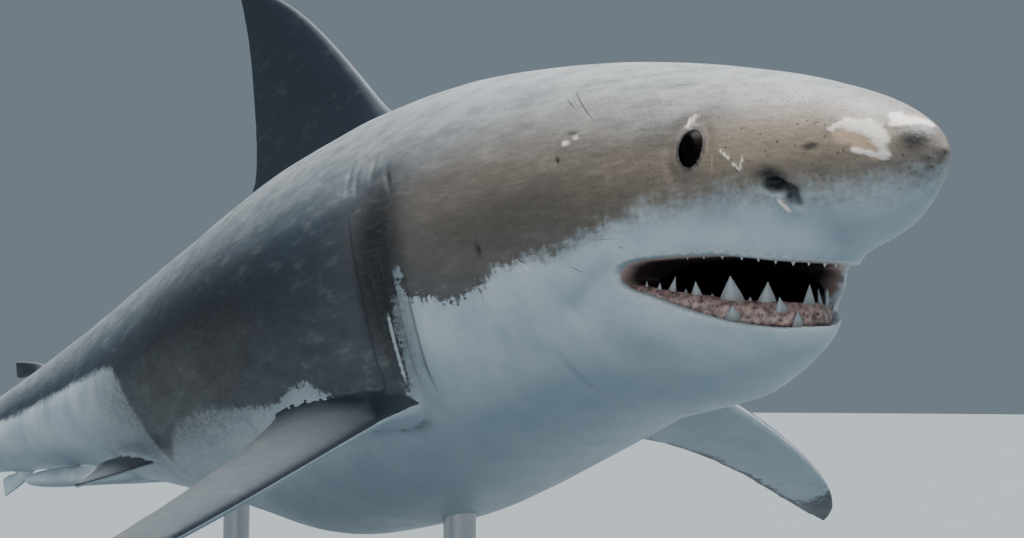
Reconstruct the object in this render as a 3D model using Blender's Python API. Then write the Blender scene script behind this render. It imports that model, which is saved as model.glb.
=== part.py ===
"""Great white shark, an adult male, as a still life-size model on a display stand.

The shark is first modelled straight, nose at y = 0 and tail toward +Y, and every
vertex is then carried along the bent spine into the swimming pose. Sizes marked
as fractions are fractions of the total length, the way sharks are measured.
Metres, +Z up, nose toward -Y. The origin is the centre of the stand's underside.
"""
import math

import bmesh
import bpy
import numpy as np
from mathutils import Vector

# Driving dimensions
TOTAL_LENGTH = 4.2
GAP = 0.0003                      # clearance between pieces that meet
WELD = 0.00002                    # points nearer than this are one point
AROUND = 28                       # sides of the body

# Pose of the spine: station, heading and slope in degrees, against the snout's
SPINE_BENDS = (
    (0.00, 0.0, 0.0), (0.10, 1.5, -2.2), (0.20, 2.9, -4.5), (0.30, 3.9, -6.1), (0.40, 1.7, -6.5),
    (0.50, -5.6, -6.8), (0.60, -12.9, -7.8), (0.70, -18.3, -9.3), (0.80, -20.7, -10.7), (1.00, -24.0, -13.6),
)
NOSE_UP = 3.1
BANK = 0.4

# Where the model stands
SNOUT_TIP = Vector((0.0, -1.62, 1.40))

# Body lines, as fractions: station, height of back, depth of belly, half width,
# roundness of the back and of the belly (2 is an ellipse).
BODY_LINES = (
    (0.0000, 0.0010, 0.0010, 0.0010, 2.00, 2.00),
    (0.0025, 0.0062, 0.0064, 0.0050, 2.00, 2.00),
    (0.0080, 0.0118, 0.0132, 0.0104, 2.00, 2.00),
    (0.0200, 0.0203, 0.0220, 0.0192, 2.00, 1.95),
    (0.0405, 0.0305, 0.0312, 0.0306, 2.00, 1.50),
    (0.0600, 0.0385, 0.0460, 0.0418, 2.00, 1.60),
    (0.1000, 0.0519, 0.0630, 0.0580, 2.05, 2.00),
    (0.1400, 0.0636, 0.0740, 0.0696, 2.00, 2.05),
    (0.1800, 0.0738, 0.0825, 0.0783, 1.95, 2.15),
    (0.2200, 0.0825, 0.0905, 0.0851, 1.88, 2.20),
    (0.2700, 0.0901, 0.1000, 0.0909, 1.78, 2.20),
    (0.3200, 0.0959, 0.1060, 0.0938, 1.68, 2.15),
    (0.3800, 0.0988, 0.1062, 0.0948, 1.62, 2.10),
    (0.4400, 0.0959, 0.0943, 0.0909, 1.60, 2.10),
    (0.5000, 0.0882, 0.0785, 0.0822, 1.60, 2.05),
    (0.5600, 0.0768, 0.0632, 0.0706, 1.63, 2.00),
    (0.6200, 0.0625, 0.0470, 0.0571, 1.66, 2.00),
    (0.6800, 0.0484, 0.0345, 0.0425, 1.70, 2.00),
    (0.7400, 0.0345, 0.0238, 0.0300, 1.75, 2.00),
    (0.8000, 0.0223, 0.0158, 0.0200, 1.80, 1.90),
    (0.8500, 0.0168, 0.0121, 0.0122, 1.80, 1.80),
)
JAW_LINES = (                     # the open lower jaw: station, depth, half width
    (0.0525, 0.0445, 0.0095), (0.0540, 0.0500, 0.0150), (0.0570, 0.0550, 0.0215), (0.0630, 0.0600, 0.0285),
    (0.0710, 0.0640, 0.0355), (0.0820, 0.0685, 0.0438), (0.1000, 0.0738, 0.0548), (0.1400, 0.0770, 0.0696),
)
JAW_FRONT, JAW_BACK = JAW_LINES[0][0], JAW_LINES[-1][0]
JAW_SPREAD = 0.45                 # share of the section's half turn above which the jaw adds nothing
KEEL_START, KEEL_END, KEEL_WIDTH = 0.755, 0.860, 0.011

# Where the body is parted into pieces
HEAD_END, GILLS_END, MID_TRUNK, TRUNK_END, TAIL_END = 0.185, 0.250, 0.450, 0.655, 0.845

# Mouth: its corner, then points along each lip forward from it. Station, height.
MOUTH_CORNER = (0.1042, -0.0300)
UPPER_LIP = ((0.0960, -0.0252), (0.0720, -0.0263), (0.0565, -0.0296), (0.0400, -0.0318), (0.0200, -0.0370))
LOWER_LIP = ((0.0960, -0.0362), (0.0775, -0.0468), (0.0680, -0.0500), (0.0560, -0.0512), (0.0440, -0.0465),
             (0.0200, -0.0450))
THROAT_MIDDLE, THROAT_REACH, THROAT_HEIGHT = 0.0960, 0.0440, -0.0385
UPPER_GUM_FRONT, UPPER_GUM_WIDTH = 0.0480, 0.0470
LOWER_GUM_FRONT, LOWER_GUM_WIDTH = 0.0600, 0.0385
TEETH_PER_JAW = 22
GUM_RADIUS, GUM_SIDES = 0.009, 6

# Eyes and gill slits
EYE_STATION, EYE_HEIGHT, EYE_RADIUS = 0.0700, 0.0080, 0.0085
EYE_INSET = 0.0061
GILL_SLITS, FIRST_SLIT, SLIT_STEP = 5, 0.1995, 0.0067
SLIT_TOP, SLIT_BOTTOM = 0.026, -0.061

# Fins
DORSAL_FOOT, DORSAL_HEIGHT = 0.0940, 0.135
PECTORAL_ROOT, PECTORAL_REACH, PECTORAL_BASE, PECTORAL_REAR = 0.2310, 0.1785, 0.064, 0.094
PECTORAL_TIP = 0.15                # where the rounded tip lies on the chord, from the trailing edge
CAUDAL_MIDDLE, CAUDAL_TOP, CAUDAL_BOTTOM = 0.0025, 0.168, -0.138
CAUDAL_UPPER_END, CAUDAL_LOWER_END, CAUDAL_FORK = 0.984, 0.950, 0.9035

# Stand
BASE_LENGTH, BASE_WIDTH, BASE_HEIGHT, BASE_CORNER = 2.10, 0.95, 0.045, 0.09
ROD_RADIUS, COLLAR_RADIUS, COLLAR_HEIGHT = 0.032, 0.075, 0.018
ROD_STATIONS = {"stand_rod_front": 0.285, "stand_rod_rear": 0.520}

SLATE_GREY = (0.095, 0.098, 0.100, 1.0)
BELLY_WHITE = (0.72, 0.74, 0.73, 1.0)
TOOTH_WHITE = (0.82, 0.80, 0.72, 1.0)
EYE_BLACK = (0.006, 0.006, 0.008, 1.0)
STEEL_GREY = (0.10, 0.10, 0.11, 1.0)
EBONY_BROWN = (0.018, 0.014, 0.012, 1.0)


def ease(amount):
    """Rise smoothly from 0 to 1."""
    amount = np.clip(amount, 0.0, 1.0)
    return amount * amount * (3.0 - 2.0 * amount)


def smooth_line(lines, station, column):
    """Read one column of a table of lines by a smooth curve that never overshoots."""
    x = np.array([row[0] for row in lines])
    y = np.array([row[column] for row in lines])
    step = np.diff(x)
    slope = np.diff(y) / step
    tangent = np.zeros(len(x))
    inner = slope[:-1] * slope[1:] > 0.0
    total = np.where(inner, slope[:-1] + slope[1:], 1.0)
    tangent[1:-1] = np.where(inner, 2.0 * slope[:-1] * slope[1:] / total, 0.0)
    tangent[0], tangent[-1] = slope[0], slope[-1]
    station = np.clip(np.asarray(station, float), x[0], x[-1])
    i = np.clip(np.searchsorted(x, station) - 1, 0, len(step) - 1)
    t = (station - x[i]) / step[i]
    start = (1.0 + 2.0 * t) * (1.0 - t) ** 2 * y[i] + t * (1.0 - t) ** 2 * step[i] * tangent[i]
    end = t * t * (3.0 - 2.0 * t) * y[i + 1] + t * t * (t - 1.0) * step[i] * tangent[i + 1]
    return start + end


def lip_height(lips, station):
    return float(smooth_line(sorted((MOUTH_CORNER, *lips)), station, 1))


def spine_course():
    """The spine's points, headings and slopes at even stations, as fractions."""
    station = np.linspace(0.0, 1.0, 401)
    heading, slope = (np.radians(smooth_line(SPINE_BENDS, station, k)) for k in (1, 2))
    way = np.stack((np.sin(heading) * np.cos(slope), np.cos(heading) * np.cos(slope), np.sin(slope)), 1)
    path = np.zeros((len(station), 3))
    path[1:] = np.cumsum((way[1:] + way[:-1]) / 2.0, axis=0) * (station[1] - station[0])
    return station, path, heading, slope


SPINE = spine_course()


def pose_points(points):
    """Carry straight points (lateral, along, up) in metres into the swimming pose."""
    points = np.asarray(points, float)
    station, path, heading, slope = SPINE
    along = points[:, 1] / TOTAL_LENGTH
    on_path = np.stack([np.interp(along, station, path[:, k]) for k in range(3)], 1) * TOTAL_LENGTH
    turn = np.interp(along, station, heading)
    dip = np.interp(along, station, slope)
    left = np.stack((np.cos(turn), -np.sin(turn), 0.0 * turn), 1)
    up = np.stack((-np.sin(dip) * np.sin(turn), -np.sin(dip) * np.cos(turn), np.cos(dip)), 1)
    placed = on_path + left * points[:, 0:1] + up * points[:, 2:3]
    pitch, bank = math.radians(-NOSE_UP), math.radians(BANK)
    tilt_bank = np.array(((math.cos(bank), 0, math.sin(bank)),
                          (0, 1, 0),
                          (-math.sin(bank), 0, math.cos(bank))))
    tilt_nose = np.array(((1, 0, 0),
                          (0, math.cos(pitch), -math.sin(pitch)),
                          (0, math.sin(pitch), math.cos(pitch))))
    return placed @ (tilt_nose @ tilt_bank).T + np.array(SNOUT_TIP)


# Objects, materials and Booleans

def material(name, colour, roughness, metallic=0.0):
    made = bpy.data.materials.get(name)
    if made is None:
        made = bpy.data.materials.new(name)
        made.use_nodes = True
        shader = made.node_tree.nodes["Principled BSDF"]
        shader.inputs["Base Color"].default_value = colour
        shader.inputs["Roughness"].default_value = roughness
        shader.inputs["Metallic"].default_value = metallic
        made.diffuse_color = colour
    return made


def mesh_object(name, points, faces, finish):
    """A closed object from points and faces, in the model's collection."""
    mesh = bpy.data.meshes.new(name)
    mesh.from_pydata([tuple(p) for p in points], [], faces)
    shape = bmesh.new()
    shape.from_mesh(mesh)
    bmesh.ops.remove_doubles(shape, verts=shape.verts, dist=1e-6)
    bmesh.ops.recalc_face_normals(shape, faces=shape.faces)
    shape.to_mesh(mesh)
    shape.free()
    piece = bpy.data.objects.new(name, mesh)
    bpy.data.collections["great_white_shark"].objects.link(piece)
    piece.data.materials.append(finish)
    return piece


def loft(name, rings, finish):
    """Skin a row of equal closed rings and cap both ends."""
    count = len(rings[0])
    points = [p for ring in rings for p in ring]
    faces = []
    for r in range(len(rings) - 1):
        for k in range(count):
            nxt = (k + 1) % count
            faces.append((r * count + k, r * count + nxt, (r + 1) * count + nxt, (r + 1) * count + k))
    faces.append(tuple(range(count)))
    faces.append(tuple(range((len(rings) - 1) * count, len(rings) * count)))
    return mesh_object(name, points, faces, finish)


def as_cutter(piece):
    """Move an object among the cutters, out of the model."""
    bpy.data.collections["great_white_shark"].objects.unlink(piece)
    bpy.data.collections["shark_cutters"].objects.link(piece)
    piece.hide_render = True
    piece.display_type = "WIRE"
    return piece


def boolean(piece, other, operation):
    """Cut, join or intersect a piece with another and keep the result as its mesh."""
    step = piece.modifiers.new(operation.lower(), "BOOLEAN")
    step.operation = operation
    step.solver = "EXACT"
    step.object = other
    graph = bpy.context.evaluated_depsgraph_get()
    result = bpy.data.meshes.new_from_object(piece.evaluated_get(graph))
    piece.modifiers.clear()
    piece.data = result
    return piece


def drop_folded_faces(shape):
    """Remove pairs of triangles that lie back to back on the same three points."""
    seen = {}
    for face in shape.faces:
        seen.setdefault(frozenset(vert.index for vert in face.verts), []).append(face)
    folded = [face for faces in seen.values() if len(faces) > 1 for face in faces]
    bmesh.ops.delete(shape, geom=folded, context="FACES")


def finish_piece(piece):
    """Triangulate, drop slivers, carry into the pose and shade smooth."""
    shape = bmesh.new()
    shape.from_mesh(piece.data)
    bmesh.ops.remove_doubles(shape, verts=shape.verts, dist=WELD)
    bmesh.ops.triangulate(shape, faces=shape.faces)
    drop_folded_faces(shape)
    placed = pose_points([v.co for v in shape.verts])
    for vert, place in zip(shape.verts, placed):
        vert.co = place
    bmesh.ops.recalc_face_normals(shape, faces=shape.faces)
    shape.to_mesh(piece.data)
    shape.free()
    piece.data.shade_smooth()
    piece.data.set_sharp_from_angle(angle=math.radians(50))
    return piece


# Body

def body_lines(station):
    """Back, belly, half width and the two roundnesses at a station, as fractions."""
    return tuple(float(smooth_line(BODY_LINES, station, k)) for k in range(1, 6))


def half_width_at(station, height):
    """Half width of the body at a height; below the lips it is the open lower jaw's."""
    back, belly, half_width, back_round, belly_round = body_lines(station)
    if height >= 0.0:
        return half_width * max(0.0, 1.0 - min(1.0, height / back) ** back_round) ** (1.0 / back_round)
    upper = half_width * max(0.0, 1.0 - min(1.0, -height / belly) ** belly_round) ** (1.0 / belly_round)
    if not JAW_FRONT <= station <= JAW_BACK:
        return upper
    jaw_depth, jaw_width = (float(smooth_line(JAW_LINES, station, k)) for k in (1, 2))
    jaw = jaw_width * math.sqrt(max(0.0, 1.0 - min(1.0, -height / jaw_depth) ** 2))
    lip, lower_lip = (-lip_height(lips, station) for lips in (UPPER_LIP, LOWER_LIP))
    shown = float(ease((-height - lip) / max(0.004, lower_lip - lip)))
    return max(upper, jaw * (0.25 + 0.75 * shown))


def body_section(station, around=AROUND, outset=0.0):
    """One closed section of the straight body, in metres."""
    back, belly, half_width, back_round, belly_round = body_lines(station)
    jaw_drop = 0.0
    if JAW_FRONT <= station <= JAW_BACK:
        jaw_drop = max(0.0, float(smooth_line(JAW_LINES, station, 1)) - belly)
    keel_place = np.clip((station - KEEL_START) / (KEEL_END - KEEL_START), 0.0, 1.0)
    keel = KEEL_WIDTH * math.sin(math.pi * keel_place ** 1.3) ** 0.8 if 0.0 < keel_place < 1.0 else 0.0
    ring = []
    for k in range(around):
        angle = 2.0 * math.pi * k / around
        side, rise = math.sin(angle), math.cos(angle)
        power = 2.0 / (back_round if rise >= 0.0 else belly_round)
        up = (back if rise >= 0.0 else belly) * math.copysign(abs(rise) ** power, rise)
        if rise < 0.0:
            up -= jaw_drop * float(ease((-rise - JAW_SPREAD) / (1.0 - JAW_SPREAD)))
        if abs(side) < 1e-6:
            lateral = 0.0
        else:
            lateral = math.copysign(half_width_at(station, up) + keel * math.exp(-(rise / 0.12) ** 2), side)
        ring.append((lateral * TOTAL_LENGTH + outset * side, station * TOTAL_LENGTH,
                     up * TOTAL_LENGTH + outset * rise))
    return ring


HEAD_STATIONS = (0.0, 0.0012, 0.0045, 0.0110, 0.0210, 0.0320, 0.0420, 0.0523, 0.0526,
                 0.0542, 0.0572, 0.0630, 0.0710, 0.0800, 0.0930, 0.1080, 0.1280, 0.1540)


def stations_between(start, end):
    """The body's stations from one cut to the next."""
    step = 0.022 if start < GILLS_END else 0.030
    if start == 0.0:
        return [*HEAD_STATIONS, end - GAP / TOTAL_LENGTH / 2.0]
    count = max(3, round((end - start) / step))
    half = GAP / TOTAL_LENGTH / 2.0
    return list(np.linspace(start + half, end - half, count + 1))


def body_length(name, start, end, outset=0.0, finish=None):
    rings = [body_section(s, outset=outset) for s in stations_between(start, end)]
    return loft(name, rings, finish or material("skin_grey", SLATE_GREY, 0.55))


def body_envelope(start, end, clearance=GAP * 1.6):
    """The body's outer shape with a little clearance, for cutting what sits on it."""
    stations = [s for s in HEAD_STATIONS if s >= start - 0.02]
    cuts = (HEAD_END, GILLS_END, MID_TRUNK, TRUNK_END, TAIL_END)
    for a, b in zip(cuts, cuts[1:]):
        stations += stations_between(a, b)
    stations.append(TAIL_END + 2.0 * GAP / TOTAL_LENGTH)
    stations = sorted(s for s in stations if start - 0.03 <= s <= end + 0.03)
    rings = [body_section(s, outset=clearance) for s in stations]
    return as_cutter(loft("envelope", rings, material("skin_grey", SLATE_GREY, 0.55)))


# Mouth

def side_prism(name, outline, half_width):
    """A solid from a side-view outline (station, height), as wide as told both ways."""
    rings = []
    for lateral in (-half_width, half_width):
        rings.append([(lateral, s * TOTAL_LENGTH, z * TOTAL_LENGTH) for s, z in outline])
    return loft(name, rings, material("skin_grey", SLATE_GREY, 0.55))


def mouth_gap():
    """The open space between the two lips, right across the head."""
    outline = [MOUTH_CORNER, *UPPER_LIP, *reversed(LOWER_LIP)]
    return as_cutter(side_prism("mouth_gap", outline, 0.4))


def arch(station, front, width):
    """Half width of the row of teeth at a station."""
    reach = max(0.0, (station - front) / (MOUTH_CORNER[0] - front))
    return width * reach ** 0.43


def throat_section(station):
    """A rounded section of the hollow behind the teeth."""
    ends = math.sqrt(max(0.0, 1.0 - ((station - THROAT_MIDDLE) / THROAT_REACH) ** 2))
    half_width = 0.0360 * ends ** 0.9 * ease((station - 0.040) / 0.055) + 0.0005
    height = 0.0165 * ends + 0.0005
    ring = []
    for k in range(10):
        angle = 2.0 * math.pi * (k + 0.25) / 10
        ring.append((half_width * math.sin(angle) * TOTAL_LENGTH, station * TOTAL_LENGTH,
                     (THROAT_HEIGHT + height * math.cos(angle)) * TOTAL_LENGTH))
    return ring


def throat():
    """The hollow of the mouth inside the jaws."""
    stations = [THROAT_MIDDLE - THROAT_REACH * math.cos(math.pi * k / 8) for k in range(9)]
    return as_cutter(loft("throat", [throat_section(s) for s in stations],
                          material("skin_grey", SLATE_GREY, 0.55)))


def gum_path(lips, front, width):
    """Points along the gum from the right corner round the front to the left corner."""
    last = MOUTH_CORNER[0] - 0.008
    half = []
    for k in range(9):
        station = front + (last - front) * (k / 8.0) ** 1.8
        half.append((arch(station, front, width), station, lip_height(lips, station)))
    right = [(-x, s, z) for x, s, z in reversed(half)]
    return right + half[1:]


def gum_strip(name, lips, front, width, up, cover, deep, grow=0.0):
    """A rounded strip of gum along a jaw; grown by a clearance it is the strip's socket."""
    path = np.array(gum_path(lips, front, width)) * TOTAL_LENGTH
    way = np.gradient(path, axis=0)
    path[0] -= way[0] / np.linalg.norm(way[0]) * grow
    path[-1] += way[-1] / np.linalg.norm(way[-1]) * grow
    rings = []
    for point, along in zip(path, way):
        outward = np.array(Vector(along).cross(up).normalized())
        ring = []
        for k in range(GUM_SIDES):
            angle = 2.0 * math.pi * (k + 0.5) / GUM_SIDES
            across = (GUM_RADIUS + grow) * math.cos(angle)
            rise = (deep + grow) * math.sin(angle) + cover
            ring.append(tuple(point + outward * across + np.array(up) * rise))
        rings.append(ring)
    return loft(name, rings, material("tooth_ivory", TOOTH_WHITE, 0.25))


def teeth_row(lips, front, width, up, foot_rise, tooth_height, tooth_width, grow=0.0):
    """All the pointed teeth of one jaw, each a four-sided spike; grown, they are their sockets."""
    path = np.array(gum_path(lips, front, width)) * TOTAL_LENGTH
    lengths = np.concatenate(([0.0], np.cumsum(np.linalg.norm(np.diff(path, axis=0), axis=1))))
    points, faces = [], []
    for k in range(TEETH_PER_JAW):
        share = (k + 0.5) / TEETH_PER_JAW
        at, ahead = (Vector([float(np.interp(place * lengths[-1], lengths, path[:, c])) for c in range(3)])
                     for place in (share, share + 0.01))
        size = 1.0 - 0.55 * abs(2.0 * share - 1.0) ** 2
        along = (ahead - at).normalized()
        outward = along.cross(up) * (tooth_width * size * 0.2 + 2.0 * grow)
        along *= tooth_width * size / 2.0 + 3.0 * grow
        foot = at + up * (foot_rise - grow)
        tip = foot + up * (tooth_height * size + 6.0 * grow)
        first = len(points)
        points += [foot + along, foot + outward, foot - along, foot - outward, tip]
        faces += [tuple(first + i for i in face)
                  for face in ((0, 1, 2, 3), (0, 1, 4), (1, 2, 4), (2, 3, 4), (3, 0, 4))]
    return as_cutter(mesh_object("teeth", points, faces, material("tooth_ivory", TOOTH_WHITE, 0.25)))


def gum_and_teeth(name, lips, front, width, up, cover, deep, tooth_height, tooth_width):
    """A gum with its teeth, one solid, and the two cutters of the socket it sits in."""
    strip = gum_strip(name, lips, front, width, up, cover, deep)
    socket = as_cutter(gum_strip("gum_socket", lips, front, width, up, cover, deep, 2.0 * GAP))
    foot = cover + deep * 0.4
    teeth = teeth_row(lips, front, width, up, foot, tooth_height, tooth_width)
    roots = teeth_row(lips, front, width, up, foot, tooth_height, tooth_width, 2.0 * GAP)
    return boolean(strip, teeth, "UNION"), (socket, roots)


def jaw_wedge(name, clearance):
    """The part of the head that belongs to the lower jaw, seen from the side."""
    edge = clearance / TOTAL_LENGTH
    outline = [(0.030, -0.0415 + edge), (0.085, -0.0335 + edge), (0.1000, -0.0300 + edge),
               (0.1046 + edge, -0.0325 + edge), (0.118 + edge, -0.0520 + edge), (0.140 + edge, -0.1200),
               (0.030, -0.1200)]
    return as_cutter(side_prism(name, outline, 0.5))


# Fins

def fin_section(span, lead, trail, thickness):
    """One streamlined section across a fin: (span, chord, thickness) points."""
    half = []
    for u in (0.0, 0.06, 0.25, 0.55, 0.85, 1.0):
        body = 2.6 * math.sqrt(u) * (1.0 - u) ** 0.85
        half.append((lead + (trail - lead) * u, thickness / 2.0 * body + 0.00018))
    upper = [(span, chord, thick) for chord, thick in half]
    lower = [(span, chord, -thick) for chord, thick in reversed(half)]
    return upper + lower


def make_fin(name, root, span_way, chord_way, spans, lead, trail, thickness):
    """Loft a fin from its planform: lead, trail and thickness at each span, as fractions."""
    span_way = Vector(span_way).normalized()
    chord_way = Vector(chord_way)
    chord_way = (chord_way - span_way * chord_way.dot(span_way)).normalized()
    flat_way = span_way.cross(chord_way)
    rings = []
    for span in spans:
        ring = []
        for along_span, chord, thick in fin_section(span, lead(span), trail(span), thickness(span)):
            point = Vector(root) + span_way * along_span + chord_way * chord + flat_way * thick
            ring.append(tuple(point * TOTAL_LENGTH))
        rings.append(ring)
    return loft(name, rings, material("skin_grey", SLATE_GREY, 0.55))


def rounded_tip(span, height, sharpness):
    """Share of the chord that is left near a fin's tip."""
    return math.sqrt(max(0.0004, 1.0 - min(1.0, max(0.0, span / height)) ** sharpness))


def dorsal_fin():
    def trail(z):
        h = z - DORSAL_FOOT
        rear = 0.4825 + 0.018 * math.exp(-max(h, 0.0) / 0.012) + 2.0 * max(0.0, h - 0.075) ** 2
        return 0.460 if h < 0.0020 else rear

    def lead(z):
        h = z - DORSAL_FOOT
        front = 0.3303 + 0.883 * h + 0.796 * h * h
        return trail(z) - (trail(z) - front) * rounded_tip(h, DORSAL_HEIGHT, 9.0)

    def thickness(z):
        h = max(0.0, z - DORSAL_FOOT)
        return 0.0150 * (1.0 - 0.85 * h / DORSAL_HEIGHT) + 0.004 * math.exp(-h / 0.008)

    heights = [-0.035, 0.0, 0.0019, 0.0021, 0.012, 0.026, 0.045, 0.065, 0.085, 0.102, 0.116, 0.127,
               0.1325, 0.1348]
    return make_fin("dorsal_fin", (0, 0, 0), (0, 0, 1), (0, 1, 0),
                    [DORSAL_FOOT + h for h in heights], lead, trail, thickness)


def small_fin(name, root, span_way, chord_way, base, height, sweep, rear_tip, rake, thick=0.085):
    """A low fin with a free rear tip, such as the second dorsal, anal and pelvic fins."""
    def trail(span):
        return base + (0.0 if span < 0.0012 else rear_tip * (1.0 - rake * span / height))

    def lead(span):
        front = sweep * max(span, 0.0) + 0.25 * sweep * max(span, 0.0) ** 2 / height
        return trail(span) - (trail(span) - front) * rounded_tip(span, height, 4.0)

    def thickness(span):
        return base * thick * (1.0 - 0.75 * max(span, 0.0) / height) + 0.0006

    spans = [-0.012, 0.0, 0.0012, 0.0013] + [height * k for k in (0.25, 0.5, 0.75, 0.9, 0.975, 0.998)]
    return make_fin(name, root, span_way, chord_way, spans, lead, trail, thickness)


def pectoral_fin(name, side, root_height, droop, swing, pitch):
    """The long sickle-shaped fin behind the gills; side is -1 right, +1 left. Degrees."""
    droop, swing, pitch = (math.radians(a) for a in (droop, swing, pitch))
    half_width = half_width_at(PECTORAL_ROOT, root_height)
    outward = Vector((side * math.cos(droop), 0.0, -math.sin(droop)))
    chord = Vector((0.0, math.cos(pitch), math.sin(pitch)))
    chord = (chord - outward * chord.dot(outward)).normalized()
    span_way = outward * math.cos(swing) + chord * math.sin(swing)
    chord_way = chord * math.cos(swing) - outward * math.sin(swing)

    def edges(x):
        """The leading and trailing edges, which meet in the rounded tip."""
        reach = max(0.0, (x - 0.010) / (PECTORAL_REACH - 0.010))
        front = 0.300 * max(x, -0.01) + max(x, 0.0) ** 2
        rear = PECTORAL_BASE
        if x >= 0.010:
            rear = PECTORAL_REAR + 0.026 * reach - 0.024 * math.sin(math.pi * min(1.0, reach) ** 0.65)
        tip = rear - PECTORAL_TIP * (rear - front)
        left = rounded_tip(x, PECTORAL_REACH, 5.5)
        return tip - (tip - front) * left, tip + (rear - tip) * left

    def thickness(x):
        return 0.0115 * (1.0 - 0.84 * max(x, 0.0) / PECTORAL_REACH) + 0.0006

    spans = [-0.022, 0.0, 0.0099, 0.0101, 0.022, 0.040, 0.062, 0.085, 0.108, 0.130, 0.149, 0.163, 0.173,
             0.1780]
    return make_fin(name, (side * half_width, PECTORAL_ROOT, root_height), span_way, chord_way,
                    spans, lambda x: edges(x)[0], lambda x: edges(x)[1], thickness)


def caudal_fin():
    """The crescent tail fin, from the tip of the lower lobe to the tip of the upper."""
    def share(z):
        return z / CAUDAL_TOP if z >= 0.0 else z / CAUDAL_BOTTOM

    def reach(z):
        return CAUDAL_UPPER_END if z >= 0.0 else CAUDAL_LOWER_END

    def trail(z):
        return CAUDAL_FORK + (reach(z) - CAUDAL_FORK) * share(z) ** 1.55

    def lead(z):
        lobe = share(z)
        front = 0.827 + (reach(z) - 0.012 - 0.827) * (0.95 * lobe + 0.05 * lobe ** 3)
        front += 0.005 * math.sin(math.pi * lobe) - 0.030 * math.exp(-(z / 0.009) ** 2)
        return trail(z) - max(0.002, trail(z) - front) * rounded_tip(lobe, 1.0, 10.0)

    def thickness(z):
        return 0.0062 * (1.0 - 0.7 * share(z)) + 0.0175 * math.exp(-(z / 0.0110) ** 2)

    heights = [CAUDAL_BOTTOM * k for k in (0.998, 0.95, 0.84, 0.70, 0.54, 0.38, 0.24, 0.15, 0.09)]
    heights += [-0.006, 0.0, 0.006]
    heights += [CAUDAL_TOP * k for k in (0.075, 0.13, 0.22, 0.36, 0.52, 0.68, 0.82, 0.94, 0.998)]
    return make_fin("caudal_fin", (0, 0, CAUDAL_MIDDLE), (0, 0, 1), (0, 1, 0),
                    heights, lead, trail, thickness)


def clasper(name, side):
    """A mating organ of the male: a tapered rod that trails from the pelvic fin."""
    rings = []
    for k in range(9):
        along = k / 8.0
        station = 0.580 + 0.130 * along
        radius = 0.0070 * math.sqrt(max(0.02, 1.0 - (2.0 * along - 1.0) ** 4)) * (1.0 - 0.20 * along)
        middle = (side * (0.0180 + 0.010 * along), -0.0490 + 0.0140 * along)
        ring = []
        for j in range(10):
            angle = 2.0 * math.pi * j / 10
            ring.append(((middle[0] + radius * math.cos(angle)) * TOTAL_LENGTH, station * TOTAL_LENGTH,
                         (middle[1] + 1.1 * radius * math.sin(angle)) * TOTAL_LENGTH))
        rings.append(ring)
    return loft(name, rings, material("skin_grey", SLATE_GREY, 0.55))


# Eyes and gill slits

def eyeball(name, side):
    """The round black eye, set in its socket so that a low dome shows."""
    half_width = half_width_at(EYE_STATION, EYE_HEIGHT)
    middle = Vector((side * (half_width - EYE_INSET), EYE_STATION, EYE_HEIGHT)) * TOTAL_LENGTH
    mesh = bpy.data.meshes.new(name)
    shape = bmesh.new()
    bmesh.ops.create_uvsphere(shape, u_segments=14, v_segments=9, radius=EYE_RADIUS * TOTAL_LENGTH)
    bmesh.ops.translate(shape, vec=middle, verts=shape.verts)
    shape.to_mesh(mesh)
    shape.free()
    piece = bpy.data.objects.new(name, mesh)
    bpy.data.collections["great_white_shark"].objects.link(piece)
    piece.data.materials.append(material("eye_black", EYE_BLACK, 0.05))
    return piece


def eye_socket(side):
    """A slightly larger ball than the eye, to cut the head."""
    socket = eyeball("socket", side)
    middle = sum((v.co for v in socket.data.vertices), Vector()) / len(socket.data.vertices)
    for vert in socket.data.vertices:
        vert.co = middle + (vert.co - middle) * (1.0 + 4.0 * GAP / (EYE_RADIUS * TOTAL_LENGTH))
    return as_cutter(socket)


def gill_slit(side, index):
    """A thin curved wedge that cuts one gill slit into the flank."""
    rings = []
    for k in range(5):
        along = k / 4.0
        height = SLIT_TOP + (SLIT_BOTTOM - SLIT_TOP) * along
        station = FIRST_SLIT + SLIT_STEP * index + 0.044 * (along - 0.55) ** 2 - 0.003
        reach = half_width_at(station, height)
        depth = 0.0036 * math.sin(math.pi * (0.12 + 0.76 * along))
        outer = [(side * (reach + 0.010), station - 0.0014), (side * (reach + 0.010), station + 0.0014),
                 (side * (reach - depth), station)]
        rings.append([(x * TOTAL_LENGTH, s * TOTAL_LENGTH, height * TOTAL_LENGTH) for x, s in outer])
    return as_cutter(loft("slit", rings, material("skin_grey", SLATE_GREY, 0.55)))


# Stand

def stand_base():
    """The flat plate on the floor, with rounded corners."""
    mesh = bpy.data.meshes.new("stand_base")
    shape = bmesh.new()
    bmesh.ops.create_cube(shape, size=1.0)
    bmesh.ops.scale(shape, vec=(BASE_WIDTH, BASE_LENGTH, BASE_HEIGHT), verts=shape.verts)
    bmesh.ops.translate(shape, vec=(0.0, 0.0, BASE_HEIGHT / 2.0), verts=shape.verts)
    upright = [e for e in shape.edges if abs(e.verts[0].co.z - e.verts[1].co.z) > BASE_HEIGHT / 2.0]
    bmesh.ops.bevel(shape, geom=upright, offset=BASE_CORNER, segments=6, profile=0.5, affect="EDGES")
    shape.to_mesh(mesh)
    shape.free()
    base = bpy.data.objects.new("stand_base", mesh)
    bpy.data.collections["great_white_shark"].objects.link(base)
    base.data.materials.append(material("black_stained_wood", EBONY_BROWN, 0.4))
    return base


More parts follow.
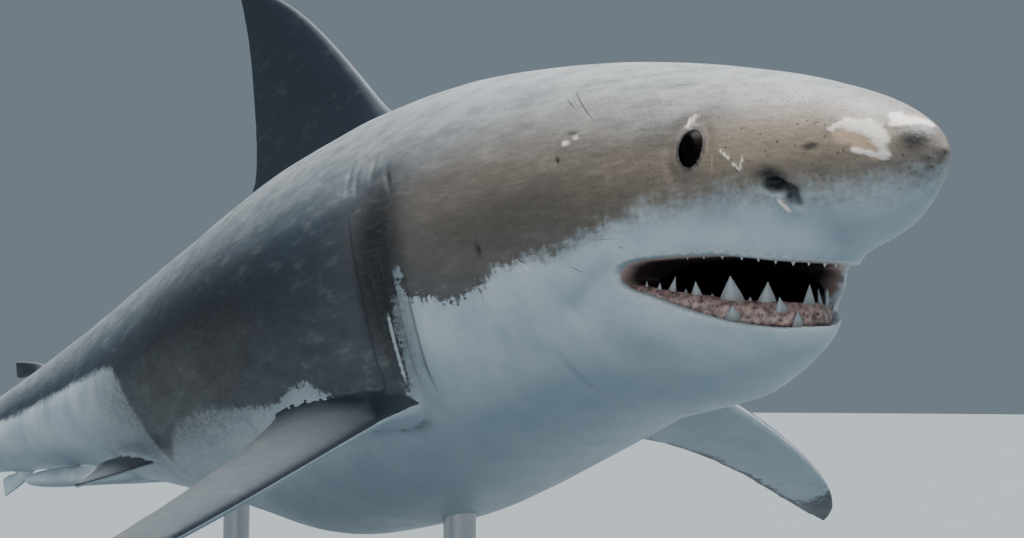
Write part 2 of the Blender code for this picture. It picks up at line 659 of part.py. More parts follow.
def stand_rod(name, station, body):
    """A round steel rod with a foot flange, up to the belly."""
    foot = pose_points([(0.0, station * TOTAL_LENGTH, 0.0)])[0]
    bottom = BASE_HEIGHT + GAP
    profile = ((COLLAR_RADIUS, bottom), (COLLAR_RADIUS, bottom + COLLAR_HEIGHT),
               (ROD_RADIUS + 0.006, bottom + COLLAR_HEIGHT + 0.006),
               (ROD_RADIUS, bottom + COLLAR_HEIGHT + 0.020), (ROD_RADIUS, foot[2] - 0.15))
    rings = []
    for radius, height in profile:
        rings.append([(foot[0] + radius * math.cos(2.0 * math.pi * k / 24),
                       foot[1] + radius * math.sin(2.0 * math.pi * k / 24), height) for k in range(24)])
    rod = loft(name, rings, material("brushed_steel", STEEL_GREY, 0.35, 1.0))
    boolean(rod, body, "DIFFERENCE")
    rod.data.shade_smooth()
    rod.data.set_sharp_from_angle(angle=math.radians(50))
    return rod


# Assembly

def cut_by(piece, *cutters):
    for cutter in cutters:
        boolean(piece, cutter, "DIFFERENCE")


def build_head():
    head = body_length("head", 0.0, HEAD_END)
    upper, upper_socket = gum_and_teeth("upper_gum_and_teeth", UPPER_LIP, UPPER_GUM_FRONT, UPPER_GUM_WIDTH,
                                        Vector((0, 0, -1)), -0.013, 0.013, 0.026, 0.025)
    lower, lower_socket = gum_and_teeth("lower_gum_and_teeth", LOWER_LIP, LOWER_GUM_FRONT, LOWER_GUM_WIDTH,
                                        Vector((0, 0, 1)), -0.003, 0.015, 0.034, 0.018)
    cut_by(head, mouth_gap(), throat(), *upper_socket, *lower_socket)
    jaw = head.copy()
    jaw.data = head.data.copy()
    jaw.name = "lower_jaw"
    bpy.data.collections["great_white_shark"].objects.link(jaw)
    boolean(jaw, jaw_wedge("jaw_wedge", 0.0), "INTERSECT")
    cut_by(head, jaw_wedge("jaw_parting", GAP), eye_socket(-1), eye_socket(1))
    return [head, jaw, upper, lower, eyeball("eye_right", -1), eyeball("eye_left", 1)]


def build_body():
    gills = body_length("gills", HEAD_END, GILLS_END)
    for side in (-1, 1):
        for index in range(GILL_SLITS):
            cut_by(gills, gill_slit(side, index))
    return [gills,
            body_length("front_trunk", GILLS_END, MID_TRUNK),
            body_length("rear_trunk", MID_TRUNK, TRUNK_END),
            body_length("tail_stalk", TRUNK_END, TAIL_END)]


def build_fins():
    """The fins, each cut by the body's shape so that its root fits the body."""
    pectorals = [pectoral_fin("pectoral_fin_right", -1, -0.0630, 34.9, 5.7, 12.0),
                 pectoral_fin("pectoral_fin_left", 1, -0.0440, 16.5, -5.7, -12.0)]
    pelvics = [small_fin(name, (side * 0.0460, 0.513, -0.0475), (side * 0.93, 0.0, -0.36), (0, 1, 0.10),
                         0.055, 0.042, 0.75, 0.030, 1.10)
               for name, side in (("pelvic_fin_right", -1), ("pelvic_fin_left", 1))]
    second = small_fin("second_dorsal_fin", (0, 0.708, 0.0405), (0, 0.08, 1), (0, 1, -0.08),
                       0.022, 0.0135, 1.45, 0.0135, 0.10, thick=0.14)
    anal = small_fin("anal_fin", (0, 0.733, -0.0238), (0, 0.08, -1), (0, 1, 0.08),
                     0.021, 0.0150, 1.45, 0.0150, 0.10, thick=0.14)
    claspers = [clasper("clasper_right", -1), clasper("clasper_left", 1)]
    places = ((0.20, 0.34, pectorals), (0.28, 0.52, [dorsal_fin()]), (0.50, 0.72, pelvics + claspers),
              (0.68, 0.80, [second, anal]), (0.78, 0.845, [caudal_fin()]))
    fins = []
    for start, end, pieces in places:
        body = body_envelope(start, end, GAP * (4.0 if end > 0.8 else 1.6))
        for piece in pieces:
            cut_by(piece, body)
            fins.append(piece)
    return fins


def build_stand():
    body = body_envelope(0.20, 0.62)
    for vert, place in zip(body.data.vertices, pose_points([v.co for v in body.data.vertices])):
        vert.co = place
    rods = [stand_rod(name, station, body) for name, station in ROD_STATIONS.items()]
    return [stand_base(), *rods]


def build_shark():
    for old in list(bpy.data.objects):
        bpy.data.objects.remove(old)
    for name in ("great_white_shark", "shark_cutters"):
        bpy.context.scene.collection.children.link(bpy.data.collections.new(name))
    for piece in build_head() + build_body() + build_fins():
        finish_piece(piece)
    build_stand()
    for cutter in list(bpy.data.collections["shark_cutters"].objects):
        bpy.data.objects.remove(cutter)


build_shark()
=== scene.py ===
import math

import bmesh
import bpy
import numpy as np
from mathutils import Matrix, Vector, kdtree, noise


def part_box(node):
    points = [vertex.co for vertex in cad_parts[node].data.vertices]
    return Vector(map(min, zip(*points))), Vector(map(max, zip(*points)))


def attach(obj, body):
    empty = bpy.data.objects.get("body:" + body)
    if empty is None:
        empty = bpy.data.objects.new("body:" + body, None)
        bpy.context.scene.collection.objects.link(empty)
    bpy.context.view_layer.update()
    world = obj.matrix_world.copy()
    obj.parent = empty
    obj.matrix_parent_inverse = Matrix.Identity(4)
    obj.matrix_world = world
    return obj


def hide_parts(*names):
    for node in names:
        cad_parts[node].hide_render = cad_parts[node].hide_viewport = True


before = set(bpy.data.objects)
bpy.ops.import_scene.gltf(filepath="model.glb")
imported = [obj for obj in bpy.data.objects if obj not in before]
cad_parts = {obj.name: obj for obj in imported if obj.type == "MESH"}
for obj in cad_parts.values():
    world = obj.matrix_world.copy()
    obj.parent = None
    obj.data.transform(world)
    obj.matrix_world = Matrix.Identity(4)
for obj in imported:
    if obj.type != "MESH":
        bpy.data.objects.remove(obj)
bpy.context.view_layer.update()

TOTAL_LENGTH = 4.2                # metres, snout to the tip of the upper tail lobe


# ---- Trunk and head ----------------------------------------------------------
# The skin of the whole animal is one closed hide. The trunk is drawn straight, as
# rings of points from the snout to the tail stalk; sizes are shares of the length.

# station, height of back, depth of belly, half width, roundness of back and belly
BODY_LINES = (
    (0.0000, 0.0010, 0.0010, 0.0010, 2.00, 2.00),
    (0.0025, 0.0062, 0.0064, 0.0050, 2.00, 2.00),
    (0.0080, 0.0118, 0.0132, 0.0104, 2.00, 2.00),
    (0.0200, 0.0203, 0.0220, 0.0192, 2.00, 1.95),
    (0.0405, 0.0305, 0.0312, 0.0306, 2.00, 1.50),
    (0.0600, 0.0385, 0.0460, 0.0418, 2.00, 1.60),
    (0.1000, 0.0519, 0.0630, 0.0580, 2.05, 2.00),
    (0.1400, 0.0636, 0.0740, 0.0696, 2.00, 2.05),
    (0.1800, 0.0738, 0.0825, 0.0783, 1.95, 2.15),
    (0.2200, 0.0825, 0.0905, 0.0851, 1.88, 2.20),
    (0.2700, 0.0901, 0.1000, 0.0909, 1.78, 2.20),
    (0.3200, 0.0959, 0.1060, 0.0938, 1.68, 2.15),
    (0.3800, 0.0988, 0.1062, 0.0948, 1.62, 2.10),
    (0.4400, 0.0959, 0.0943, 0.0909, 1.60, 2.10),
    (0.5000, 0.0882, 0.0785, 0.0822, 1.60, 2.05),
    (0.5600, 0.0768, 0.0632, 0.0706, 1.63, 2.00),
    (0.6200, 0.0625, 0.0470, 0.0571, 1.66, 2.00),
    (0.6800, 0.0484, 0.0345, 0.0425, 1.70, 2.00),
    (0.7400, 0.0345, 0.0238, 0.0300, 1.75, 2.00),
    (0.8000, 0.0223, 0.0158, 0.0200, 1.80, 1.90),
    (0.8500, 0.0168, 0.0121, 0.0122, 1.80, 1.80),
    (0.8750, 0.0090, 0.0070, 0.0050, 1.90, 1.90),
)
# the open lower jaw: station, depth, half width
JAW_LINES = (
    (0.0525, 0.0445, 0.0095), (0.0540, 0.0500, 0.0150), (0.0570, 0.0550, 0.0215), (0.0630, 0.0600, 0.0285),
    (0.0710, 0.0640, 0.0355), (0.0820, 0.0685, 0.0438), (0.1000, 0.0738, 0.0548), (0.1400, 0.0770, 0.0696),
)
JAW_FRONT, JAW_BACK = JAW_LINES[0][0], JAW_LINES[-1][0]
JAW_SPREAD = 0.45
KEEL_START, KEEL_END, KEEL_WIDTH = 0.755, 0.860, 0.011
MOUTH_CORNER = (0.1042, -0.0300)
UPPER_LIP = ((0.1020, -0.0268), (0.0960, -0.0252), (0.0720, -0.0263), (0.0565, -0.0296), (0.0400, -0.0318),
             (0.0200, -0.0370))
LOWER_LIP = ((0.1020, -0.0335), (0.0960, -0.0362), (0.0880, -0.0412), (0.0775, -0.0468), (0.0680, -0.0500),
             (0.0600, -0.0512), (0.0520, -0.0508), (0.0440, -0.0465), (0.0200, -0.0450))
SLIT_LINES = (0.1995, 0.2060, 0.2120, 0.2190, 0.2265)
SLIT_TOP, SLIT_BOTTOM = 0.026, -0.061
AROUND = 180                      # points in each ring
RING_ROWS = (                     # from station, to station, spacing of the rings
    (0.020, 0.030, 0.0012), (0.030, 0.050, 0.0009), (0.050, 0.060, 0.0005), (0.060, 0.080, 0.0009),
    (0.080, 0.130, 0.0013), (0.130, 0.190, 0.0022),
    (0.190, 0.246, 0.0009), (0.246, 0.300, 0.0026), (0.300, 0.800, 0.0056), (0.800, 0.8751, 0.0030),
)


def ease(amount):
    """Rise smoothly from 0 to 1."""
    amount = np.clip(amount, 0.0, 1.0)
    return amount * amount * (3.0 - 2.0 * amount)


def smooth_line(lines, station, column):
    """Read one column of a table of lines by a smooth curve that never overshoots."""
    x = np.array([row[0] for row in lines])
    y = np.array([row[column] for row in lines])
    step = np.diff(x)
    slope = np.diff(y) / step
    tangent = np.zeros(len(x))
    inner = slope[:-1] * slope[1:] > 0.0
    total = np.where(inner, slope[:-1] + slope[1:], 1.0)
    tangent[1:-1] = np.where(inner, 2.0 * slope[:-1] * slope[1:] / total, 0.0)
    tangent[0], tangent[-1] = slope[0], slope[-1]
    station = np.clip(np.asarray(station, float), x[0], x[-1])
    i = np.clip(np.searchsorted(x, station) - 1, 0, len(step) - 1)
    t = (station - x[i]) / step[i]
    start = (1.0 + 2.0 * t) * (1.0 - t) ** 2 * y[i] + t * (1.0 - t) ** 2 * step[i] * tangent[i]
    end = t * t * (3.0 - 2.0 * t) * y[i + 1] + t * t * (t - 1.0) * step[i] * tangent[i + 1]
    return start + end


def lip_height(lips, station):
    return smooth_line(sorted((MOUTH_CORNER, *lips)), station, 1)


def half_width_at(station, height):
    """Half width of the body at a height; below the lips it is the open lower jaw's."""
    back, belly, half_width, back_round, belly_round = (
        smooth_line(BODY_LINES, station, k) for k in range(1, 6))
    above = half_width * (1.0 - np.clip(height / back, 0.0, 1.0) ** back_round) ** (1.0 / back_round)
    below = half_width * (1.0 - np.clip(-height / belly, 0.0, 1.0) ** belly_round) ** (1.0 / belly_round)
    jaw_depth, jaw_width = (smooth_line(JAW_LINES, station, k) for k in (1, 2))
    jaw = jaw_width * np.sqrt(1.0 - np.clip(-height / jaw_depth, 0.0, 1.0) ** 2)
    lip, lower_lip = (-lip_height(lips, station) for lips in (UPPER_LIP, LOWER_LIP))
    shown = ease((-height - lip) / np.maximum(0.004, lower_lip - lip))
    in_jaw = (station >= JAW_FRONT) & (station <= JAW_BACK)
    below = np.where(in_jaw, np.maximum(below, jaw * (0.25 + 0.75 * shown)), below)
    return np.where(height >= 0.0, above, below)


def slit_bow(height):
    """How far a gill slit bows along the body at a height."""
    along = np.clip((SLIT_TOP - height) / (SLIT_TOP - SLIT_BOTTOM), -0.05, 1.1)
    return 0.044 * (along - 0.55) ** 2 - 0.003


def ring_stations():
    rings = [0.020 * (k / 20.0) ** 1.7 for k in range(20)]
    for start, end, spacing in RING_ROWS:
        rings += list(np.arange(start, end - spacing * 0.4, spacing))
    for line in SLIT_LINES:
        rings = [r for r in rings if not line - 0.0006 < r < line + 0.0012]
        rings += [line - 0.0002, line + 0.0002, line + 0.0008]
    return np.array(sorted(rings))


def trunk_grid(rings, around):
    """Station, height and lateral share of every point of the trunk."""
    angle = 2.0 * np.pi * np.arange(around) / around
    side, rise = np.sin(angle)[None, :], np.cos(angle)[None, :]
    side = np.where(np.abs(side) < 1e-6, 0.0, side)
    station = np.repeat(rings[:, None], around, axis=1)
    bowed = ease((rings - 0.165) / 0.030) * (1.0 - ease((rings - 0.246) / 0.030))
    for _ in range(2):
        back, belly = (smooth_line(BODY_LINES, station, k) for k in (1, 2))
        back_round, belly_round = (smooth_line(BODY_LINES, station, k) for k in (4, 5))
        power = 2.0 / np.where(rise >= 0.0, back_round, belly_round)
        height = np.where(rise >= 0.0, back, belly) * np.sign(rise) * np.abs(rise) ** power
        in_jaw = (station >= JAW_FRONT) & (station <= JAW_BACK)
        drop = np.where(in_jaw, np.maximum(0.0, smooth_line(JAW_LINES, station, 1) - belly), 0.0)
        height = height - drop * ease((-rise - JAW_SPREAD) / (1.0 - JAW_SPREAD))
        station = rings[:, None] + bowed[:, None] * slit_bow(height)
    place = np.clip((station - KEEL_START) / (KEEL_END - KEEL_START), 0.0, 1.0)
    keel = KEEL_WIDTH * np.sin(np.pi * place ** 1.3) ** 0.8
    lateral = np.sign(side) * (half_width_at(station, height) + keel * np.exp(-(rise / 0.12) ** 2))
    return station, height, lateral


rings = ring_stations()
station, height, lateral = trunk_grid(rings, AROUND)
trunk = np.stack((lateral, station, height), 2) * TOTAL_LENGTH
along_way = np.gradient(trunk, axis=0)
round_way = np.roll(trunk, -1, axis=1) - np.roll(trunk, 1, axis=1)
outward = np.cross(round_way, along_way)
outward /= np.maximum(1e-9, np.linalg.norm(outward, axis=2, keepdims=True))


# ---- Eye, nostril, mouth corner and gills, in the trunk's surface ------------
# The hide is pushed in or out where the animal has its folds, and the same places
# are kept as strengths from 0 to 1, for the finish of the skin, which paints shade
# into the slits, the nostril, the pits, the folds and the eye sockets.

EYE_STATION, EYE_HEIGHT, EYE_RADIUS, EYE_INSET = 0.0700, 0.0080, 0.0085, 0.0061
EYE_NARROW = 0.62                 # the eye is narrower along the head than it is high
NOSTRIL, NOSTRIL_GROOVE = (0.0452, -0.0066), ((0.0436, -0.0062), (0.0404, -0.0090), (0.0408, -0.0132))
LID_RISE, SLIT_FLAP, SLIT_DEPTH, NOSTRIL_DEPTH = 0.0012, 0.0050, 0.0090, 0.0130
# strength of each slit in the dark upper part of the flank, and how deep it is lower down
SLIT_STRENGTHS = ((0.0, 0.80), (0.05, 0.25), (0.04, 0.70), (0.06, 0.25), (0.80, 0.95))


def off_line(station, height, start, end):
    """Distance in metres from a straight line between two places on the side."""
    across, rise = (station - start[0]) * TOTAL_LENGTH, (height - start[1]) * TOTAL_LENGTH
    run = np.array((end[0] - start[0], end[1] - start[1])) * TOTAL_LENGTH
    along = np.clip((across * run[0] + rise * run[1]) / (run @ run), 0.0, 1.0)
    return np.hypot(across - along * run[0], rise - along * run[1])


def oval(station, height, middle, half_length, half_height, turn=0.0):
    """Share of the way out from the middle of an oval mark, 1 at its edge."""
    across, rise = station - middle[0], height - middle[1]
    cosine, sine = math.cos(math.radians(turn)), math.sin(math.radians(turn))
    return np.hypot((across * cosine + rise * sine) / half_length,
                    (rise * cosine - across * sine) / half_height)


push = np.zeros_like(station)
# painted shade: how dark the slits, nostril, pits and folds are painted, from 0 to 1
crease = np.zeros_like(station)
pale = np.zeros_like(station)
on_side = (np.abs(lateral) > 0.3 * half_width_at(station, 0.0 * height)).astype(float)

for line, (high_part, low_part) in zip(SLIT_LINES, SLIT_STRENGTHS):
    behind = (rings[:, None] - line) * TOTAL_LENGTH + 0.0 * height
    strength = (high_part * ease((0.018 - height) / 0.030)
                + (low_part - high_part) * ease((-0.006 - height) / 0.020))
    open_part = ease((SLIT_TOP - height) / 0.012) * ease((height - SLIT_BOTTOM) / 0.012) * on_side * strength
    flap = SLIT_FLAP * np.exp(np.minimum(behind, 0.0) / 0.012) * (behind < 0.0)
    groove = SLIT_DEPTH * np.exp(-np.maximum(behind - 0.002, 0.0) / 0.007) * (behind >= 0.0)
    push += (flap - groove) * open_part
    crease = np.maximum(crease, open_part * np.exp(-(np.maximum(behind - 0.001, 0.0) / 0.0042) ** 2)
                        * (behind > -0.0012))
# a pale rim behind the last slit, and a pale strip of gill skin behind the third
behind = (rings[:, None] - SLIT_LINES[4]) * TOTAL_LENGTH + 0.0 * height
pale = np.maximum(pale, 0.40 * np.exp(-((behind - 0.011) / 0.004) ** 2) * on_side
                  * ease((0.020 - height) / 0.02) * ease((height + 0.056) / 0.01))
behind = (rings[:, None] - SLIT_LINES[2]) * TOTAL_LENGTH + 0.0 * height
pale = np.maximum(pale, np.exp(-((behind - 0.009) / 0.005) ** 2) * on_side
                  * ease((-0.024 - height) / 0.006) * ease((height + 0.060) / 0.01))
# short folds that fan out above the slits
for start, end in (((0.2370, 0.0370), (0.2330, 0.0290)), ((0.2270, 0.0400), (0.2235, 0.0310)),
                   ((0.2150, 0.0330), (0.2080, 0.0240)), ((0.2460, 0.0430), (0.2400, 0.0310))):
    away = off_line(station, height, start, end)
    fold_part = np.exp(-(away / 0.005) ** 2) * on_side
    push -= 0.0020 * fold_part
    crease = np.maximum(crease, 0.25 * np.exp(-(away / 0.003) ** 2) * on_side)

# eyelids: a thin raised rim, and a shallow orbit round it
from_eye = np.hypot((station - EYE_STATION) / EYE_NARROW, height - EYE_HEIGHT) * TOTAL_LENGTH
push += LID_RISE * np.exp(-((from_eye - 0.029) / 0.004) ** 2) * on_side
push -= 0.0022 * np.exp(-((from_eye - 0.045) / 0.010) ** 2) * on_side

# nostril: a slanting hole, and a groove that curls down in front of a skin flap
hole = oval(station, height, NOSTRIL, 0.0030, 0.0023, 15.0)
push -= NOSTRIL_DEPTH * np.exp(-hole ** 4) * on_side
crease = np.maximum(crease, np.exp(-(hole / 0.95) ** 6) * on_side)
for start, end in zip(NOSTRIL_GROOVE[:-1], NOSTRIL_GROOVE[1:]):
    away = off_line(station, height, start, end)
    push -= 0.0060 * np.exp(-(away / 0.0050) ** 2) * on_side
    crease = np.maximum(crease, 0.85 * np.exp(-(away / 0.0048) ** 4) * on_side)
flap = oval(station, height, (0.0440, -0.0122), 0.0026, 0.0034, -20.0)
push += 0.0045 * np.exp(-flap ** 2) * on_side

# the snout's underside is hollowed above the upper lip, and the jaw is full behind the mouth
hollow = (np.exp(-((height + 0.0190) / 0.0075) ** 2)
          * ease((station - 0.030) / 0.02) * ease((0.112 - station) / 0.02))
push -= 0.0060 * hollow * on_side
push += 0.0090 * np.exp(-oval(station, height, (0.0990, -0.0460), 0.0150, 0.0100) ** 2) * on_side
away = off_line(station, height, (0.1060, -0.0285), (0.1240, -0.0400))
push -= 0.0080 * np.exp(-(away / 0.015) ** 2) * on_side
drawn_in = oval(station, height, (0.0600, -0.0290), 0.0190, 0.0075)
push -= 0.0110 * np.exp(-drawn_in ** 2) * (lateral > 0.0)
for middle, half_length, half_height in (((0.1560, -0.0120), 0.0012, 0.0026),
                                         ((0.1190, 0.0145), 0.0011, 0.0013)):
    pit = oval(station, height, middle, half_length, half_height) * (1.0 + (lateral > 0.0))
    push -= 0.0040 * np.exp(-pit ** 2)
    crease = np.maximum(crease, 0.9 * np.exp(-pit ** 4))

# marks of a hard life on the snout: bare places with bright torn rims, dark smudges, a tan cast; the smudge
# table also holds painted shade by the gills, under the pectoral fin and on the flank
WORN_MARKS = (                    # middle, half length, half height, turn, strength
    ((0.0225, 0.0076), 0.0048, 0.0036, 0.0, 1.0), ((0.0180, 0.0056), 0.0044, 0.0044, 0.0, 1.0),
    ((0.0150, 0.0010), 0.0022, 0.0040, 12.0, 0.9), ((0.0092, 0.0112), 0.0036, 0.0017, 8.0, 1.0),
    ((0.0706, 0.0200), 0.0014, 0.0020, 0.0, 0.9), ((0.0616, 0.0028), 0.0006, 0.0044, 0.0, 0.6),
    ((0.0448, -0.0136), 0.0010, 0.0026, -15.0, 0.8), ((0.0470, 0.0184), 0.0085, 0.0014, 0.0, 0.35),
    ((0.1083, -0.0180), 0.0040, 0.0013, 0.0, 0.35),
)
TORN_RIMS = (                     # the bright rims: places each runs through, half width up to there
    ((0.0275, 0.0095, 0.0), (0.0245, 0.0115, 0.0009), (0.0220, 0.0100, 0.0014), (0.0190, 0.0095, 0.0017),
     (0.0160, 0.0070, 0.0020), (0.0140, 0.0040, 0.0018), (0.0130, -0.0010, 0.0010)),
    ((0.0210, 0.0015, 0.0), (0.0165, 0.0000, 0.0008), (0.0130, -0.0020, 0.0007)),
    ((0.0130, 0.0125, 0.0), (0.0115, 0.0110, 0.0011), (0.0115, 0.0090, 0.0009)),
    ((0.0115, 0.0105, 0.0), (0.0090, 0.0100, 0.0014), (0.0060, 0.0100, 0.0010), (0.0045, 0.0085, 0.0006)),
    ((0.0595, 0.0070, 0.0), (0.0560, 0.0030, 0.00035)),
    ((0.0555, 0.0020, 0.0), (0.0535, -0.0005, 0.00035)),
    ((0.0530, 0.0000, 0.0), (0.0525, 0.0035, 0.00030)),
    ((0.0720, 0.0175, 0.0), (0.0715, 0.0205, 0.0005), (0.0695, 0.0205, 0.0006)),
    ((0.1175, 0.0195, 0.0), (0.1130, 0.0210, 0.0006)),
    ((0.0455, -0.0115, 0.0), (0.0440, -0.0155, 0.0005)),
)
# dark smudges on the snout and head, and painted shade: the dark band across the gills at (0.2120, -0.0120),
# the shadow where the pectoral fin meets the body at (0.2290, -0.0640), and the darkened flank at (0.4100,
# -0.0140)
SMUDGES_AND_SHADE = (
    ((0.0332, 0.0046), 0.0022, 0.0011, 0.0, 0.80), ((0.0060, 0.0040), 0.0036, 0.0034, 0.0, 0.85),
    ((0.0448, -0.0040), 0.0050, 0.0030, 40.0, 0.90), ((0.0420, -0.0102), 0.0014, 0.0030, 12.0, 0.75),
    ((0.0800, 0.0140), 0.0110, 0.0040, 0.0, 0.20), ((0.0820, 0.0357), 0.0050, 0.0012, 0.0, 0.30),
    ((0.1148, 0.0229), 0.0028, 0.0006, 8.0, 0.80), ((0.2120, -0.0120), 0.0140, 0.0400, 0.0, 0.85),
    ((0.2150, 0.0250), 0.0150, 0.0100, 0.0, 0.40), ((0.2290, -0.0640), 0.0110, 0.0070, 0.0, 0.55),
    ((0.4100, -0.0140), 0.1400, 0.0420, 0.0, 0.95), ((0.1350, -0.0040), 0.0460, 0.0110, 0.0, 0.30),
)
TAN_MARKS = (((0.0400, 0.0070), 0.0360, 0.0140, 0.0, 1.0), ((0.0200, 0.0050), 0.0120, 0.0090, 0.0, 1.0),
             ((0.0900, 0.0000), 0.0400, 0.0140, 0.0, 0.7), ((0.1500, 0.0050), 0.0600, 0.0240, 0.0, 0.5))


def marks(table, one_sided, softness):
    """How strong the marks of one table are at each point; some are on the right side alone."""
    found = np.zeros_like(station)
    for middle, half_length, half_height, turn, strength in table:
        out = oval(station, height, middle, half_length, half_height, turn)
        if one_sided:
            out = out + 9.0 * (lateral > 0.0)
        found = np.maximum(found, strength * ease((1.0 - out) / softness + 0.5))
    return found


worn, smudge, tan = marks(WORN_MARKS, True, 0.7), marks(SMUDGES_AND_SHADE, False, 1.3), marks(TAN_MARKS, False, 1.4)
rim = np.zeros_like(station)
for start, (*end, half_width) in (leg for run in TORN_RIMS for leg in zip(run[:-1], run[1:])):
    away = off_line(station, height, start, end)
    away = away + 0.0010 * np.abs(np.sin(station * 9000.0) * np.cos(height * 7000.0))
    rim = np.maximum(rim, ease(1.3 - 0.65 * away / (half_width * TOTAL_LENGTH)) * (lateral < 0.0))
push += 0.0010 * rim - 0.0006 * worn

wander = np.array([noise.noise(Vector(p) * 2.2) * 0.0030 + noise.noise(Vector(p) * 9.0) * 0.0009
                   for p in trunk.reshape(-1, 3)]).reshape(station.shape)
push += wander * ease(station / 0.02)
trunk = trunk + outward * push[:, :, None]


# ---- Colour border of the body -----------------------------------------------
# Above this line the hide is slate, below it white. It runs ragged from the snout
# under the eye to the pectoral fin, then along the flank, with a dark tongue that
# reaches down in front of the pelvic fins.

# Landmarks listed in round shares. They rest on a projection of the picture's
# border onto the body; the ragged edge between them is the finish's noise.
BORDER_LINE = (
    # the snout, a rise in front of the eye, a small step behind it, then down past the mouth corner
    (0.000, -0.006), (0.020, -0.011), (0.040, -0.011), (0.055, -0.008), (0.080, -0.011), (0.085, -0.009),
    (0.105, -0.015), (0.120, -0.018),
    # the cheek: nearly level, one step down, and up again to the first gill slit
    (0.150, -0.020), (0.160, -0.027), (0.180, -0.029), (0.185, -0.026), (0.198, -0.024),
    # a notch at the first slit, then the slate drops behind it to the root of the pectoral fin
    (0.200, -0.012), (0.206, -0.022), (0.211, -0.043), (0.221, -0.064), (0.235, -0.069), (0.256, -0.066),
    # up behind the fin's root, and along the flank
    (0.265, -0.055), (0.280, -0.044), (0.310, -0.050), (0.330, -0.049), (0.380, -0.041), (0.440, -0.041),
    # the dark tongue in front of the pelvic fins, its steep rear edge, and the tail stalk
    (0.493, -0.056), (0.506, -0.028), (0.520, -0.008), (0.535, 0.004), (0.570, 0.008), (0.720, 0.006),
    (0.900, -0.003),
)


def above_border(station, height):
    """Signed distance in metres to the border between slate and white."""
    line = np.array(BORDER_LINE) * TOTAL_LENGTH
    place = np.stack((station, height), -1).reshape(-1, 2) * TOTAL_LENGTH
    nearest = np.full(len(place), 9.0)
    for start, end in zip(line[:-1], line[1:]):
        run = end - start
        along = np.clip(((place - start) @ run) / (run @ run), 0.0, 1.0)
        nearest = np.minimum(nearest, np.linalg.norm(place - start - along[:, None] * run, axis=1))
    over = place[:, 1] > np.interp(place[:, 0], line[:, 0], line[:, 1])
    return np.where(over, nearest, -nearest).reshape(np.shape(station))


border = above_border(station, height)


# ---- Fins --------------------------------------------------------------------
# Stiff blades of cartilage under the same hide. Each is drawn as streamlined
# sections from its buried root to its rounded tip.

BLADE_SIDES = 14                  # points from leading to trailing edge, on each face
SKIN, FIN, MOUTH, SOCKET = 0, 1, 2, 3


def blade(root, span_way, chord_way, spans, lead, trail, thickness):
    """Rings of a fin's points, and each point's share from lead to trail and its face."""
    span_way = Vector(span_way).normalized()
    chord_way = Vector(chord_way)
    chord_way = (chord_way - span_way * chord_way.dot(span_way)).normalized()
    frame_ways = np.array((span_way, chord_way, span_way.cross(chord_way)))
    share = (1.0 - np.cos(np.pi * np.arange(BLADE_SIDES) / (BLADE_SIDES - 1))) / 2.0
    plump = 2.6 * np.sqrt(share) * (1.0 - share) ** 0.85
    fin_rings = []
    for span in spans:
        half = thickness(span) / 2.0 * plump + 0.00018
        chord = lead(span) + (trail(span) - lead(span)) * share
        ring = np.concatenate((np.stack((0 * share + span, chord, half), 1),
                               np.stack((0 * share + span, chord, -half), 1)[::-1]))
        fin_rings.append((ring @ frame_ways + np.array(root)) * TOTAL_LENGTH)
    face = np.concatenate((np.ones(BLADE_SIDES), -np.ones(BLADE_SIDES)))
    return np.array(fin_rings), np.concatenate((share, share[::-1])), face


def rounded_tip(span, height, sharpness):
    """Share of the chord that is left near a fin's tip."""
    return math.sqrt(max(0.0004, 1.0 - min(1.0, max(0.0, span / height)) ** sharpness))


def free_edge(span, start, rounding):
    """Share of the free rear tip that is reached at a span, round like a lobe."""
    reach = min(1.0, max(0.0, (span - start) / rounding))
    return math.sqrt(1.0 - (1.0 - reach) ** 2)


def ragged(span, size, seed):
    """Small notches in a trailing edge."""
    return size * (noise.noise(Vector((span * 90.0, seed, 0.0))) + 0.6 * noise.noise(Vector((span * 260.0,
                                                                                             seed, 3.0))))


def blade_spans(buried, free_start, reach, count):
    """Spans from the buried root to the tip, close together at the free tip and the end."""
    inner = [-buried, -buried * 0.4, 0.0, free_start * 0.6]
    inner += [free_start + reach * 0.05 * (k / 7.0) ** 1.6 for k in range(8)]
    outer = [math.sin(math.pi / 2.0 * k / count) for k in range(1, count + 1)]
    first = inner[-1]
    return inner + [first + (reach * 0.9985 - first) * k for k in outer]


fins = []                         # rings, above border, pale edge


def dorsal_fin():
    foot, reach = 0.0940, 0.135

    def trail(z):
        h = z - foot
        rear = 0.4825 + 0.018 * math.exp(-max(h, 0.0) / 0.012) + 2.0 * max(0.0, h - 0.075) ** 2
        return 0.460 + (rear + ragged(h, 0.0006, 1.0) - 0.460) * free_edge(h, 0.0015, 0.006)

    def lead(z):
        h = z - foot
        front = 0.3303 + 0.883 * h + 0.796 * h * h - 0.012 * math.exp(-max(h, -0.01) / 0.006)
        return trail(z) - (trail(z) - front) * rounded_tip(h, reach, 9.0)

    def thickness(z):
        h = max(0.0, z - foot)
        return 0.0150 * (1.0 - 0.85 * h / reach) + 0.010 * math.exp(-h / 0.006)

    spans = [foot + s for s in blade_spans(0.030, 0.0015, reach, 34)]
    points, share, face = blade((0, 0, 0), (0, 0, 1), (0, 1, 0), spans, lead, trail, thickness)
    fins.append((points, np.full(points.shape[:2], 0.06), np.zeros(points.shape[:2])))


